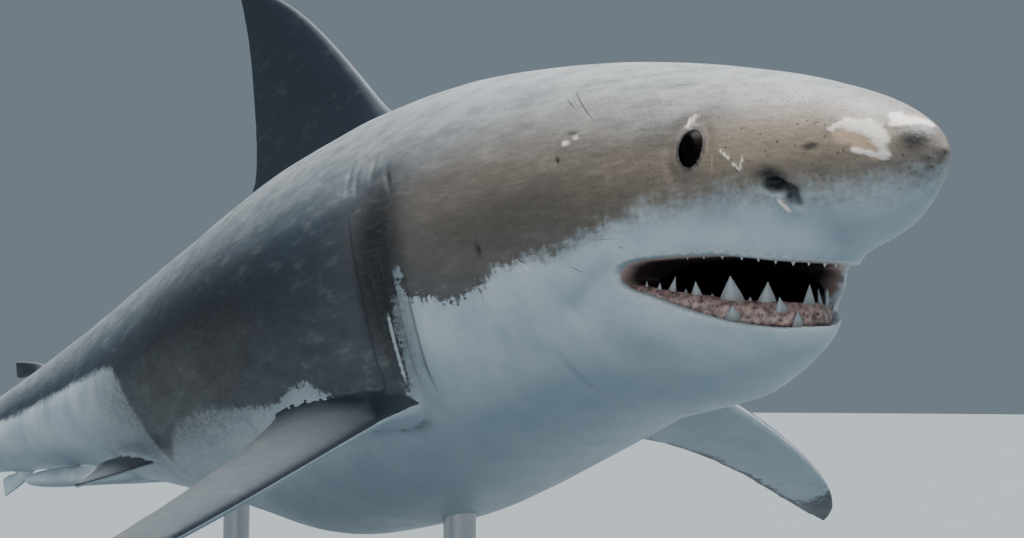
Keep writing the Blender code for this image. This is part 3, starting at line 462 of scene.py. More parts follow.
def small_fin(root, span_way, chord_way, base, height, sweep, rear_tip, rake, thick, dark_face, shade):
    """A low fin with a free rear tip, such as the second dorsal, anal and pelvic fins."""
    def trail(span):
        return base + (rear_tip * (1.0 - rake * max(span, 0.0) / height) + ragged(span, 0.0003, base)) \
            * free_edge(span, 0.0010, 0.0035)

    def lead(span):
        front = sweep * max(span, 0.0) + 0.25 * sweep * max(span, 0.0) ** 2 / height
        return trail(span) - (trail(span) - front) * rounded_tip(span, height, 4.0)

    def thickness(span):
        return (base * thick * (1.0 - 0.75 * max(span, 0.0) / height)
                + 0.0006 + 0.004 * math.exp(-max(span, 0) / 0.003))

    points, share, face = blade(root, span_way, chord_way, blade_spans(0.012, 0.0010, height, 16),
                                lead, trail, thickness)
    tone = np.where(face * dark_face >= 0.0, shade, -0.03) + np.zeros((len(points), 1))
    pale = ease((share - 0.80) / 0.18) + np.zeros((len(points), 1)) if dark_face else np.zeros(tone.shape)
    fins.append((points, tone, pale * (tone > 0.0) * 0.8))


def pectoral_fin(side, root_height, droop, swing, pitch):
    """The long sickle-shaped fin behind the gills; side is -1 right, +1 left. Degrees."""
    root, reach, base, rear_tip = 0.2310, 0.1785, 0.064, 0.094
    droop, swing, pitch = (math.radians(a) for a in (droop, swing, pitch))
    outward_way = Vector((side * math.cos(droop), 0.0, -math.sin(droop)))
    chord = Vector((0.0, math.cos(pitch), math.sin(pitch)))
    chord = (chord - outward_way * chord.dot(outward_way)).normalized()
    span_way = outward_way * math.cos(swing) + chord * math.sin(swing)
    chord_way = chord * math.cos(swing) - outward_way * math.sin(swing)

    def edges(x):
        """The leading and trailing edges, which meet in the rounded tip."""
        out = min(1.0, max(0.0, (x - 0.010) / (reach - 0.010)))
        front = 0.300 * max(x, -0.01) + max(x, 0.0) ** 2 - 0.008 * math.exp(-max(x, -0.01) / 0.008)
        rear = rear_tip + 0.026 * out - 0.024 * math.sin(math.pi * out ** 0.65) + ragged(x, 0.0011, side)
        rear = base + (rear - base) * free_edge(x, 0.0080, 0.012)
        tip, left = rear - 0.15 * (rear - front), rounded_tip(x, reach, 5.5)
        return tip - (tip - front) * left, tip + (rear - tip) * left

    def thickness(x):
        return 0.0115 * (1.0 - 0.84 * max(x, 0.0) / reach) + 0.0006 + 0.008 * math.exp(-max(x, 0.0) / 0.007)

    spans = blade_spans(0.022, 0.0080, reach, 42)
    width = float(half_width_at(np.array(root), np.array(root_height)))
    points, share, face = blade((side * width, root, root_height), span_way, chord_way,
                                spans, lambda x: edges(x)[0], lambda x: edges(x)[1], thickness)
    out = np.array(spans)[:, None] / reach
    under = (out - 0.84) * 0.18 + 0.0 * share
    under = np.maximum(under, (share - 0.97 + 0.10 * out) * 0.12)
    tone = np.where(face * side > 0.0, 0.05, under)
    fins.append((points, tone, np.zeros(tone.shape)))


def caudal_fin():
    """The crescent tail fin, from the tip of the lower lobe to the tip of the upper."""
    top, bottom, upper_end, lower_end, fork = 0.168, -0.138, 0.984, 0.950, 0.9035

    def share_of(z):
        return z / top if z >= 0.0 else z / bottom

    def trail(z):
        end = upper_end if z >= 0.0 else lower_end
        notch = 0.006 * math.exp(-((z - 0.140) / 0.004) ** 2)
        return fork + (end - fork) * share_of(z) ** 1.55 - notch + ragged(z, 0.0006, 5.0)

    def lead(z):
        lobe = share_of(z)
        end = upper_end if z >= 0.0 else lower_end
        front = 0.827 + (end - 0.012 - 0.827) * (0.95 * lobe + 0.05 * lobe ** 3)
        front += 0.005 * math.sin(math.pi * lobe) - 0.030 * math.exp(-(z / 0.009) ** 2)
        return trail(z) - max(0.002, trail(z) - front) * rounded_tip(lobe, 1.0, 10.0)

    def thickness(z):
        return 0.0062 * (1.0 - 0.7 * share_of(z)) + 0.0175 * math.exp(-(z / 0.0110) ** 2)

    lobes = [math.sin(math.pi / 2.0 * k / 40.0) * 0.9985 for k in range(1, 41)]
    spans = [bottom * k for k in reversed(lobes)] + [0.0] + [top * k for k in lobes]
    points, share, face = blade((0, 0, 0.0025), (0, 0, 1), (0, 1, 0), spans, lead, trail, thickness)
    fins.append((points, np.full(points.shape[:2], 0.05), np.zeros(points.shape[:2])))


def clasper(side):
    """A mating organ of the male: a tapered rod that trails from the pelvic fin."""
    tube = []
    for k in range(31):
        along = k / 30.0
        radius = 0.0070 * math.sqrt(max(0.004, 1.0 - (2.0 * along - 1.0) ** 4)) * (1.0 - 0.20 * along)
        turn = 2.0 * np.pi * np.arange(20) / 20
        groove = 1.0 - 0.16 * np.exp(-((turn - 1.2) / 0.25) ** 2)
        tube.append(np.stack((side * (0.0180 + 0.010 * along) + radius * groove * np.cos(turn),
                              0.580 + 0.130 * along + 0.0 * turn,
                              -0.0490 + 0.0140 * along + 1.1 * radius * groove * np.sin(turn)), 1))
    points = np.array(tube) * TOTAL_LENGTH
    fins.append((points, np.full(points.shape[:2], -0.03), np.zeros(points.shape[:2])))


pectoral_fin(-1, -0.0630, 34.9, 5.7, 12.0)
pectoral_fin(1, -0.0440, 16.5, -5.7, -12.0)
dorsal_fin()
small_fin((0, 0.708, 0.0405), (0, 0.08, 1), (0, 1, -0.08), 0.022, 0.0135, 1.45, 0.0135, 0.10, 0.14, 0, 0.04)
small_fin((0, 0.733, -0.0238), (0, 0.08, -1), (0, 1, 0.08), 0.021, 0.0150, 1.45, 0.0150, 0.10, 0.14, 0, -0.03)
for side in (-1, 1):
    small_fin((side * 0.0460, 0.513, -0.0475), (side * 0.93, 0.0, -0.36), (0, 1, 0.10),
              0.055, 0.042, 0.75, 0.030, 1.10, 0.085, side, 0.03)
    clasper(side)
caudal_fin()


# ---- The hide, joined up -----------------------------------------------------
# Trunk and fins are united, the mouth is opened and the eye sockets are sunk. The
# joints and the lips are then smoothed, so that no seam shows.

def closed_tube(name, points):
    """A closed object from rings of points, with both ends drawn to a point."""
    count = points.shape[1]
    corners = list(points.reshape(-1, 3)) + [points[0].mean(axis=0), points[-1].mean(axis=0)]
    first, last = len(corners) - 2, len(corners) - 1
    faces = []
    for r in range(len(points) - 1):
        for k in range(count):
            nxt = (k + 1) % count
            faces.append((r * count + k, r * count + nxt, (r + 1) * count + nxt, (r + 1) * count + k))
    end = (len(points) - 1) * count
    faces += [(first, (k + 1) % count, k) for k in range(count)]
    faces += [(last, end + k, end + (k + 1) % count) for k in range(count)]
    mesh = bpy.data.meshes.new(name)
    mesh.from_pydata([tuple(p) for p in corners], [], faces)
    shape = bmesh.new()
    shape.from_mesh(mesh)
    bmesh.ops.remove_doubles(shape, verts=shape.verts, dist=1e-6)
    bmesh.ops.recalc_face_normals(shape, faces=shape.faces)
    shape.to_mesh(mesh)
    shape.free()
    made = bpy.data.objects.new(name, mesh)
    bpy.context.scene.collection.objects.link(made)
    return made


def select_none():
    for other in bpy.context.selected_objects:
        other.select_set(False)


def show_only(piece):
    """Select one piece and make it active."""
    select_none()
    piece.select_set(True)
    bpy.context.view_layer.objects.active = piece


def settle(piece):
    """Put a piece's place and turn into its mesh."""
    show_only(piece)
    bpy.ops.object.transform_apply(location=True, rotation=True, scale=True)


def combine(piece, other, operation):
    """Unite two closed pieces, or cut one from the other, and drop the second."""
    bpy.context.view_layer.objects.active = piece
    step = piece.modifiers.new(operation.lower(), "BOOLEAN")
    step.operation, step.solver, step.object = operation, "MANIFOLD", other
    bpy.ops.object.modifier_apply(modifier=step.name)
    bpy.data.objects.remove(other)


def mouth_opening():
    """The space between the lips, right across the head; it closes sooner on the left."""
    outline = [MOUTH_CORNER]
    for s in np.linspace(0.1036, 0.020, 34):
        outline.append((s, float(lip_height(UPPER_LIP, s))))
    for s in np.linspace(0.020, 0.1036, 34):
        outline.append((s, float(lip_height(LOWER_LIP, s))))
    outline = np.array(outline)
    slices = []
    for across in np.linspace(-0.30, 0.30, 75):
        sooner = float(ease((across - 0.05) / 0.08)) * 0.45
        stations = np.where(outline[:, 0] > 0.050, 0.050 + (outline[:, 0] - 0.050) * (1.0 - sooner),
                            outline[:, 0])
        raised = 0.0060 * float(ease(across / 0.10)) * (np.arange(len(outline)) > 34)
        slices.append(np.stack((0.0 * stations + across, stations * TOTAL_LENGTH,
                                (outline[:, 1] + raised) * TOTAL_LENGTH), 1))
    return np.array(slices)


def throat():
    """The hollow of the mouth inside the jaws."""
    slices = []
    for k in range(1, 24):
        s = 0.096 - 0.044 * math.cos(math.pi * k / 24)
        ends = math.sqrt(1.0 - ((s - 0.096) / 0.044) ** 2)
        wide = 0.0360 * ends ** 0.9 * float(ease((s - 0.040) / 0.055)) + 0.0005
        turn = 2.0 * np.pi * np.arange(28) / 28
        slices.append(np.stack((wide * np.sin(turn), 0.0 * turn + s, -0.0385 + 0.0165 * ends * np.cos(turn)),
                               1))
    return np.array(slices) * TOTAL_LENGTH


def eye_middle(side):
    width = float(half_width_at(np.array(EYE_STATION), np.array(EYE_HEIGHT)))
    return Vector((side * (width - EYE_INSET), EYE_STATION, EYE_HEIGHT)) * TOTAL_LENGTH


STRENGTHS = ("border", "pale", "crease", "worn", "rim", "smudge", "tan", "kind")
places, tones = [], []            # every source point, and its strengths


def note(points, kind, **known):
    """Keep the points of a source surface with the strengths that are known there."""
    known["kind"] = kind
    places.append(points.reshape(-1, 3))
    tones.append(np.stack([np.broadcast_to(known.get(name, 0.0), points.shape[:-1]).reshape(-1).astype(float)
                           for name in STRENGTHS], 1))


hide = closed_tube("shark_skin", trunk)
note(trunk, SKIN, border=border, pale=pale, crease=crease, worn=worn, rim=rim, smudge=smudge, tan=tan)
for points, tone, edge in fins:
    note(points, FIN, border=tone, pale=edge)
    combine(hide, closed_tube("fin", points), "UNION")
for hollow in (mouth_opening(), throat()):
    note(hollow, MOUTH, border=-0.05)
    combine(hide, closed_tube("hollow", hollow), "DIFFERENCE")
for side in (-1, 1):
    select_none()
    bpy.ops.mesh.primitive_uv_sphere_add(segments=48, ring_count=32,
                                         radius=EYE_RADIUS * TOTAL_LENGTH + 0.0004,
                                         location=eye_middle(side))
    socket = bpy.context.object
    settle(socket)
    for vert in socket.data.vertices:
        vert.co.y = eye_middle(side).y + (vert.co.y - eye_middle(side).y) * EYE_NARROW
    # the socket's walls are given full painted shade
    note(np.array([v.co for v in socket.data.vertices]), SOCKET, border=0.05, crease=1.0)
    combine(hide, socket, "DIFFERENCE")

shape = bmesh.new()
shape.from_mesh(hide.data)
bmesh.ops.remove_doubles(shape, verts=shape.verts, dist=0.0002)
bmesh.ops.triangulate(shape, faces=[f for f in shape.faces if len(f.verts) > 4])
shape.to_mesh(hide.data)
shape.free()

places, tones = np.concatenate(places), np.concatenate(tones)
finder = kdtree.KDTree(len(places))
for index, place in enumerate(places):
    finder.insert(place, index)
finder.balance()
count = len(hide.data.vertices)
straight = np.empty(count * 3)
hide.data.vertices.foreach_get("co", straight)
straight = straight.reshape(-1, 3)
source = np.array([finder.find(p)[1] for p in straight])
strengths = dict(zip(STRENGTHS, tones[source].T))
kind = strengths.pop("kind")
edges = np.empty(len(hide.data.edges) * 2, dtype=int)
hide.data.edges.foreach_get("vertices", edges)
edges = edges.reshape(-1, 2)


def near_seam(kinds_a, kinds_b, reach):
    """How near each point is to the seam between two kinds of surface, from 1 to 0, and its distance."""
    a, b = kind[edges[:, 0]], kind[edges[:, 1]]
    crossing = (np.isin(a, kinds_a) & np.isin(b, kinds_b)) | (np.isin(b, kinds_a) & np.isin(a, kinds_b))
    seam = np.unique(edges[crossing])
    tree = kdtree.KDTree(len(seam))
    for index in seam:
        tree.insert(straight[index], int(index))
    tree.balance()
    away = np.array([tree.find(p)[2] for p in straight])
    return np.exp(-(away / reach) ** 2), away


def smooth_near(points, nearness, rounds):
    """Move points toward the middle of their neighbours, most where nearness is 1."""
    for _ in range(rounds):
        total, number = np.zeros_like(points), np.zeros(len(points))
        for a, b in ((0, 1), (1, 0)):
            np.add.at(total, edges[:, a], points[edges[:, b]])
            np.add.at(number, edges[:, a], 1.0)
        points = points + (total / number[:, None] - points) * (0.6 * nearness)[:, None]
    return points


joint, _ = near_seam((SKIN,), (FIN,), 0.022)
lip, inside = near_seam((SKIN,), (MOUTH,), 0.007)
lid, _ = near_seam((SKIN,), (SOCKET,), 0.0022)
straight = smooth_near(straight, joint, 14)
straight = smooth_near(straight, lip, 5)
lining = np.where(kind == MOUTH, inside, 0.0)


# ---- Swimming pose -----------------------------------------------------------
# The straight animal is carried along its bent spine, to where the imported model
# has its snout. Station, then heading and slope in degrees, rounded from a fit of
# the model's outline to the picture.

SPINE_BENDS = (
    (0.00, 0.0, 0.0), (0.10, 1.5, -2.2), (0.20, 2.9, -4.5), (0.30, 3.9, -6.1), (0.40, 1.7, -6.5),
    (0.50, -5.6, -6.8), (0.60, -12.9, -7.8), (0.70, -18.3, -9.3), (0.80, -20.7, -10.7), (1.00, -24.0, -13.6),
)
NOSE_UP, BANK = 3.1, 0.4
SNOUT_TIP = np.array((0.0, -1.62, 1.40))


def pose_points(points):
    """Carry straight points (lateral, along, up) in metres into the swimming pose."""
    station = np.linspace(0.0, 1.0, 401)
    heading, slope = (np.radians(smooth_line(SPINE_BENDS, station, k)) for k in (1, 2))
    way = np.stack((np.sin(heading) * np.cos(slope), np.cos(heading) * np.cos(slope), np.sin(slope)), 1)
    path = np.zeros((len(station), 3))
    path[1:] = np.cumsum((way[1:] + way[:-1]) / 2.0, axis=0) * (station[1] - station[0])
    points = np.asarray(points, float)
    along = points[:, 1] / TOTAL_LENGTH
    on_path = np.stack([np.interp(along, station, path[:, k]) for k in range(3)], 1) * TOTAL_LENGTH
    turn, dip = np.interp(along, station, heading), np.interp(along, station, slope)
    left = np.stack((np.cos(turn), -np.sin(turn), 0.0 * turn), 1)
    up = np.stack((-np.sin(dip) * np.sin(turn), -np.sin(dip) * np.cos(turn), np.cos(dip)), 1)
    placed = on_path + left * points[:, 0:1] + up * points[:, 2:3]
    tilt = Matrix.Rotation(math.radians(-NOSE_UP), 3, "X") @ Matrix.Rotation(math.radians(BANK), 3, "Y")
    return placed @ np.array(tilt).T + SNOUT_TIP


def keep_strength(mesh, name, values):
    """Store one strength for each point of a mesh, for its finish to read."""
    mesh.attributes.new(name, "FLOAT", "POINT").data.foreach_set("value", np.asarray(values, float))


hide.data.vertices.foreach_set("co", pose_points(straight).reshape(-1))
hide.data.attributes.new("straight", "FLOAT_VECTOR", "POINT").data.foreach_set("vector", straight.reshape(-1))
strengths.update(lining=lining, fin=(kind == FIN).astype(float), lip_edge=lip * (kind != MOUTH), lid_edge=lid)
for name, values in strengths.items():
    keep_strength(hide.data, name, values)
hide.data.update()
show_only(hide)
bpy.ops.object.shade_smooth_by_angle(angle=math.radians(65))


# ---- Finish of the hide ------------------------------------------------------
# Living hide set with tiny tooth-like scales: slate above, cool white below, wet
# and faintly rough, with scars, pores and worn places on the snout. Painted light is
# set into its colour: paler where it faces up, blue-grey where it faces down, and
# painted shade in its folds, in the throat, by the gills and along the flank.

def srgb(code, alpha=1.0):
    """A hex colour as the linear values that a shader needs."""
    parts = [int(code[i:i + 2], 16) / 255.0 for i in (1, 3, 5)]
    return tuple(p / 12.92 if p <= 0.04045 else ((p + 0.055) / 1.055) ** 2.4 for p in parts) + (alpha,)


def put(tree, kind, links=None, **settings):
    """Add a shader node, set it up, and link or fill its inputs."""
    made = tree.nodes.new("ShaderNode" + kind)
    for name, value in settings.items():
        setattr(made, name, value)
    for name, value in (links or {}).items():
        if isinstance(value, bpy.types.NodeSocket):
            tree.links.new(value, made.inputs[name])
        else:
            made.inputs[name].default_value = value
    return made


def new_finish(name):
    """A new material, its tree of nodes and its main shader."""
    finish = bpy.data.materials.new(name)
    finish.use_nodes = True
    return finish, finish.node_tree, finish.node_tree.nodes["Principled BSDF"]


skin, tree, shader = new_finish("shark_hide_slate_over_white")
straight_at = put(tree, "Attribute", attribute_name="straight").outputs["Vector"]
(border_at, pale_at, crease_at, lining_at, fin_at, worn_at, rim_at, smudge_at, tan_at,
 lip_edge_at, lid_edge_at) = (
    put(tree, "Attribute", attribute_name=name).outputs["Fac"] for name in (
        "border", "pale", "crease", "lining", "fin", "worn", "rim", "smudge", "tan", "lip_edge", "lid_edge"))
parts = put(tree, "SeparateXYZ", {"Vector": straight_at})
length_at = parts.outputs["Y"]
facing_up = put(tree, "SeparateXYZ", {"Vector": put(tree, "NewGeometry").outputs["Normal"]}).outputs["Z"]

# ragged border: blotches of 60 mm, flecks of 12 mm and upright hairs 5 mm wide; soft on the
# snout, crisp by the gills, and a little softer again along the flank
drawn_out = put(tree, "Mapping", {"Vector": straight_at, "Scale": (1.0, 0.55, 1.5)}).outputs["Vector"]
upright = put(tree, "Mapping", {"Vector": straight_at, "Rotation": (math.radians(25.0), 0.0, 0.0),
                                "Scale": (1.0, 1.0, 0.28)}).outputs["Vector"]
blotches = put(tree, "TexNoise", {"Vector": drawn_out, "Scale": 1 / 0.060, "Detail": 3.0,
                                  "Roughness": 0.55}).outputs["Fac"]
flecks = put(tree, "TexNoise", {"Vector": drawn_out, "Scale": 1 / 0.012, "Detail": 4.0,
                                "Roughness": 0.7}).outputs["Fac"]
hairs = put(tree, "TexNoise", {"Vector": upright, "Scale": 1 / 0.009, "Detail": 3.0,
                               "Roughness": 0.65}).outputs["Fac"]
calm = put(tree, "MapRange", {"Value": length_at, "From Min": 1.0, "From Max": 1.6, "To Min": 1.0,
                              "To Max": 0.55}).outputs["Result"]
wavering = 0.0
for waver, reach in ((blotches, 0.010), (flecks, 0.009), (hairs, 0.009)):
    moved = put(tree, "MapRange", {"Value": waver, "From Min": 0.25, "From Max": 0.75, "To Min": -reach,
                                   "To Max": reach}).outputs["Result"]
    wavering = put(tree, "Math", {0: wavering, 1: moved}, operation="ADD").outputs[0]
wavering = put(tree, "Math", {0: wavering, 1: calm, 2: border_at}, operation="MULTIPLY_ADD").outputs[0]
softness = put(tree, "MapRange", {"Value": length_at, "From Min": 0.30, "From Max": 0.70, "To Min": 0.030,
                                  "To Max": 0.0045}).outputs["Result"]
softer = put(tree, "MapRange", {"Value": length_at, "From Min": 1.1, "From Max": 1.9, "To Min": 0.0,
                                "To Max": 0.008}).outputs["Result"]
softness = put(tree, "Math", {0: softness, 1: softer}, operation="ADD").outputs[0]
edge_share = put(tree, "Math", {0: wavering, 1: softness}, operation="DIVIDE").outputs[0]
dark_part = put(tree, "MapRange", {"Value": edge_share, "From Min": -1.0, "From Max": 1.0},
                interpolation_type="SMOOTHSTEP").outputs["Result"]

# slate: warm grey on the head, blue-grey along the flank, plainer and darker on the fins, with a painted
# highlight that makes hide and fins paler where they face up
toward_flank = put(tree, "MapRange", {"Value": length_at, "From Min": 0.45,
                                      "From Max": 1.15}).outputs["Result"]
slate = put(tree, "Mix", {0: toward_flank, 6: srgb("#6a6560"), 7: srgb("#38424d")},
            data_type="RGBA").outputs[2]
# painted highlight: the slate of hide and fins turns paler the more it faces up, as if lit from above
painted_top_light = put(tree, "MapRange", {"Value": facing_up, "From Min": 0.30, "From Max": 0.95,
                                 "To Max": 0.85}).outputs["Result"]
slate = put(tree, "Mix", {0: painted_top_light, 6: slate, 7: srgb("#b1b7b9")}, data_type="RGBA").outputs[2]
fin_slate = put(tree, "Mix", {0: painted_top_light, 6: srgb("#262e38"), 7: srgb("#72777a")},
                data_type="RGBA").outputs[2]
slate = put(tree, "Mix", {0: fin_at, 6: slate, 7: fin_slate}, data_type="RGBA").outputs[2]
mottle = put(tree, "TexNoise", {"Vector": drawn_out, "Scale": 1 / 0.045, "Detail": 8.0,
                                "Roughness": 0.68}).outputs["Fac"]
plain = put(tree, "MapRange", {"Value": fin_at, "To Min": 1.0, "To Max": 0.35}).outputs["Result"]
mottle_dark = put(tree, "MapRange", {"Value": mottle, "From Min": 0.42, "From Max": 0.68, "To Min": 0.0,
                                     "To Max": 0.50}).outputs["Result"]
mottle_dark = put(tree, "Math", {0: mottle_dark, 1: plain}, operation="MULTIPLY").outputs[0]
slate = put(tree, "Mix", {0: mottle_dark, 6: slate, 7: srgb("#292e35")}, data_type="RGBA").outputs[2]
mottle_pale = put(tree, "MapRange", {"Value": mottle, "From Min": 0.44, "From Max": 0.26, "To Min": 0.0,
                                     "To Max": 0.30}).outputs["Result"]
mottle_pale = put(tree, "Math", {0: mottle_pale, 1: plain}, operation="MULTIPLY").outputs[0]
slate = put(tree, "Mix", {0: mottle_pale, 6: slate, 7: srgb("#aeaea9")}, data_type="RGBA").outputs[2]
tan_part = put(tree, "Math", {0: tan_at, 1: 0.62}, operation="MULTIPLY").outputs[0]
slate = put(tree, "Mix", {0: tan_part, 6: slate, 7: srgb("#988670")}, data_type="RGBA").outputs[2]
# the head's own grain: brown freckles of 6 mm and thin streaks that run back along the snout
grit = put(tree, "TexNoise", {"Vector": straight_at, "Scale": 1 / 0.006, "Detail": 5.0,
                              "Roughness": 0.75}).outputs["Fac"]
lengthways = put(tree, "Mapping", {"Vector": straight_at, "Rotation": (math.radians(-12.0), 0.0, 0.0),
                                   "Scale": (1.0, 0.22, 1.6)}).outputs["Vector"]
streaks = put(tree, "TexNoise", {"Vector": lengthways, "Scale": 1 / 0.014, "Detail": 5.0,
                                 "Roughness": 0.7}).outputs["Fac"]
on_head = put(tree, "MapRange", {"Value": length_at, "From Min": 0.85, "From Max": 0.40}).outputs["Result"]
for grain, start, full, reach, tone_code in (
        (streaks, 0.50, 0.72, 0.34, "#4b443e"), (streaks, 0.48, 0.28, 0.24, "#b5a999"), (grit, 0.54, 0.72,
                                                                                         0.50, "#3d352f")):
    grain_part = put(tree, "MapRange", {"Value": grain, "From Min": start, "From Max": full,
                                        "To Max": reach}).outputs["Result"]
    grain_part = put(tree, "Math", {0: grain_part, 1: on_head}, operation="MULTIPLY").outputs[0]
    slate = put(tree, "Mix", {0: grain_part, 6: slate, 7: srgb(tone_code)}, data_type="RGBA").outputs[2]

# sense pores, 2 to 3 mm dark dots about 12 mm apart on the snout
pores = put(tree, "TexVoronoi", {"Vector": straight_at, "Scale": 1 / 0.013,
                                 "Randomness": 1.0}).outputs["Distance"]
pore_dots = put(tree, "MapRange", {"Value": pores, "From Min": 0.20, "From Max": 0.09}).outputs["Result"]
on_snout = put(tree, "MapRange", {"Value": length_at, "From Min": 0.42, "From Max": 0.24}).outputs["Result"]
pore_part = put(tree, "Math", {0: pore_dots, 1: on_snout}, operation="MULTIPLY").outputs[0]
pore_part = put(tree, "Math", {0: pore_part, 1: 0.65}, operation="MULTIPLY").outputs[0]
slate = put(tree, "Mix", {0: pore_part, 6: slate, 7: srgb("#2b2826")}, data_type="RGBA").outputs[2]

# white: cool, with faint grey clouding, and painted shade that turns it blue-grey where it faces down
cloud = put(tree, "TexNoise", {"Vector": straight_at, "Scale": 1 / 0.09, "Detail": 6.0,
                               "Roughness": 0.62}).outputs["Fac"]
cloudy = put(tree, "MapRange", {"Value": cloud, "From Min": 0.38, "From Max": 0.72}).outputs["Result"]
white = put(tree, "Mix", {0: cloudy, 6: srgb("#dde5e8"), 7: srgb("#b0c0ca")}, data_type="RGBA").outputs[2]
# painted shade: the white darkens to blue-grey the more the hide faces down
painted_underside_shade = put(tree, "MapRange", {"Value": facing_up, "From Min": -0.05, "From Max": -0.75,
                                    "To Max": 0.85}).outputs["Result"]
white = put(tree, "Mix", {0: painted_underside_shade, 6: white, 7: srgb("#71848f")}, data_type="RGBA").outputs[2]
colour = put(tree, "Mix", {0: dark_part, 6: white, 7: slate}, data_type="RGBA").outputs[2]

# smudges and painted shade blend in; worn places and their torn rims are broken by the same flecks
smudge_part = put(tree, "Math", {0: flecks, 1: 1.2, 2: 0.40}, operation="MULTIPLY_ADD").outputs[0]
smudge_part = put(tree, "Math", {0: smudge_part, 1: smudge_at}, operation="MULTIPLY",
                  use_clamp=True).outputs[0]
colour = put(tree, "Mix", {0: smudge_part, 6: colour, 7: srgb("#0f1216")}, data_type="RGBA").outputs[2]
broken_by = put(tree, "Math", {0: flecks, 1: grit}, operation="ADD").outputs[0]
for strength_at, reach, tone_code, low, high in (
        (worn_at, 0.80, "#b89c84", 1.05, 1.95), (pale_at, 0.90, "#c3ccce", 1.30, 1.80),
        (rim_at, 0.95, "#ece3d8", 1.00, 1.85)):
    broken = put(tree, "Math", {0: broken_by, 1: 0.9, 2: strength_at}, operation="MULTIPLY_ADD").outputs[0]
    shown = put(tree, "MapRange", {"Value": broken, "From Min": low, "From Max": high, "To Max": reach},
                interpolation_type="SMOOTHSTEP").outputs["Result"]
    present = put(tree, "MapRange", {"Value": strength_at, "From Max": 0.30}).outputs["Result"]
    shown = put(tree, "Math", {0: shown, 1: present}, operation="MULTIPLY").outputs[0]
    colour = put(tree, "Mix", {0: shown, 6: colour, 7: srgb(tone_code)}, data_type="RGBA").outputs[2]
# painted shade, near black, in the gill slits, nostril, pits, folds and eye sockets
colour = put(tree, "Mix", {0: crease_at, 6: colour, 7: srgb("#15171b")}, data_type="RGBA").outputs[2]

# fine scratches on the right side, thin at both ends: start, end, half width in metres, tone
right_side = put(tree, "Math", {0: parts.outputs["X"], 1: 0.0}, operation="LESS_THAN").outputs[0]
for start, end, width, tone_code in (
        ((0.126, 0.0435), (0.108, 0.0270), 0.0014, "#3a3937"), ((0.127, 0.0405), (0.119, 0.0340), 0.0011,
                                                                "#403e3b"),
        ((0.140, -0.0185), (0.134, -0.0245), 0.0018, "#e4e6e4"), ((0.109, -0.0165), (0.098, -0.0175), 0.0008,
                                                                  "#7b8084"),
        ((0.099, -0.0200), (0.097, -0.0210), 0.0010, "#5f6468"), ((0.118, -0.0245), (0.114, -0.0270), 0.0012,
                                                                  "#5f6468"),
        ((0.086, 0.0365), (0.078, 0.0355), 0.0012, "#56534e")):
    first = Vector((0.0, start[0], start[1])) * TOTAL_LENGTH
    run = Vector((0.0, end[0], end[1])) * TOTAL_LENGTH - first
    flat = put(tree, "Mapping", {"Vector": straight_at, "Scale": (0.0, 1.0, 1.0),
                                 "Location": -first}).outputs["Vector"]
    along = put(tree, "VectorMath", {0: flat, 1: run / run.length_squared},
                operation="DOT_PRODUCT").outputs["Value"]
    along = put(tree, "Clamp", {"Value": along}).outputs["Result"]
    nearest = put(tree, "VectorMath", {0: run, "Scale": along}, operation="SCALE").outputs["Vector"]
    away = put(tree, "VectorMath", {0: flat, 1: nearest}, operation="DISTANCE").outputs["Value"]
    thin = put(tree, "Math", {0: along, 1: 0.5}, operation="PINGPONG").outputs[0]
    thin = put(tree, "MapRange", {"Value": thin, "From Max": 0.35, "To Min": width * 0.35,
                                  "To Max": width}).outputs["Result"]
    share = put(tree, "Math", {0: away, 1: thin}, operation="DIVIDE").outputs[0]
    line = put(tree, "MapRange", {"Value": share, "From Min": 1.0, "From Max": 0.3,
                                  "To Max": 0.85}).outputs["Result"]
    line = put(tree, "Math", {0: line, 1: right_side}, operation="MULTIPLY").outputs[0]
    colour = put(tree, "Mix", {0: line, 6: colour, 7: srgb(tone_code)}, data_type="RGBA").outputs[2]

# a dark rim at the eyelid's edge by the socket and a pale rim at the lip; mouth lining pink-brown inside the
# lip, and painted shade, near black, further in
lid_part = put(tree, "MapRange", {"Value": lid_edge_at, "From Min": 0.45, "From Max": 0.85,
                                  "To Max": 0.6}).outputs["Result"]
colour = put(tree, "Mix", {0: lid_part, 6: colour, 7: srgb("#3b3a3a")}, data_type="RGBA").outputs[2]
lip_rim = put(tree, "MapRange", {"Value": lip_edge_at, "From Min": 0.6, "From Max": 0.95,
                                 "To Max": 0.28}).outputs["Result"]
colour = put(tree, "Mix", {0: lip_rim, 6: colour, 7: srgb("#d8cbc0")}, data_type="RGBA").outputs[2]
lip_part = put(tree, "MapRange", {"Value": lining_at, "From Min": 0.002, "From Max": 0.008}).outputs["Result"]
# painted shade: the lining turns near black deeper into the mouth
painted_throat_shade = put(tree, "MapRange", {"Value": lining_at, "From Min": 0.010,
                                   "From Max": 0.035}).outputs["Result"]
colour = put(tree, "Mix", {0: lip_part, 6: colour, 7: srgb("#a8938b")}, data_type="RGBA").outputs[2]
colour = put(tree, "Mix", {0: painted_throat_shade, 6: colour, 7: srgb("#33262c")}, data_type="RGBA").outputs[2]
tree.links.new(colour, shader.inputs["Base Color"])

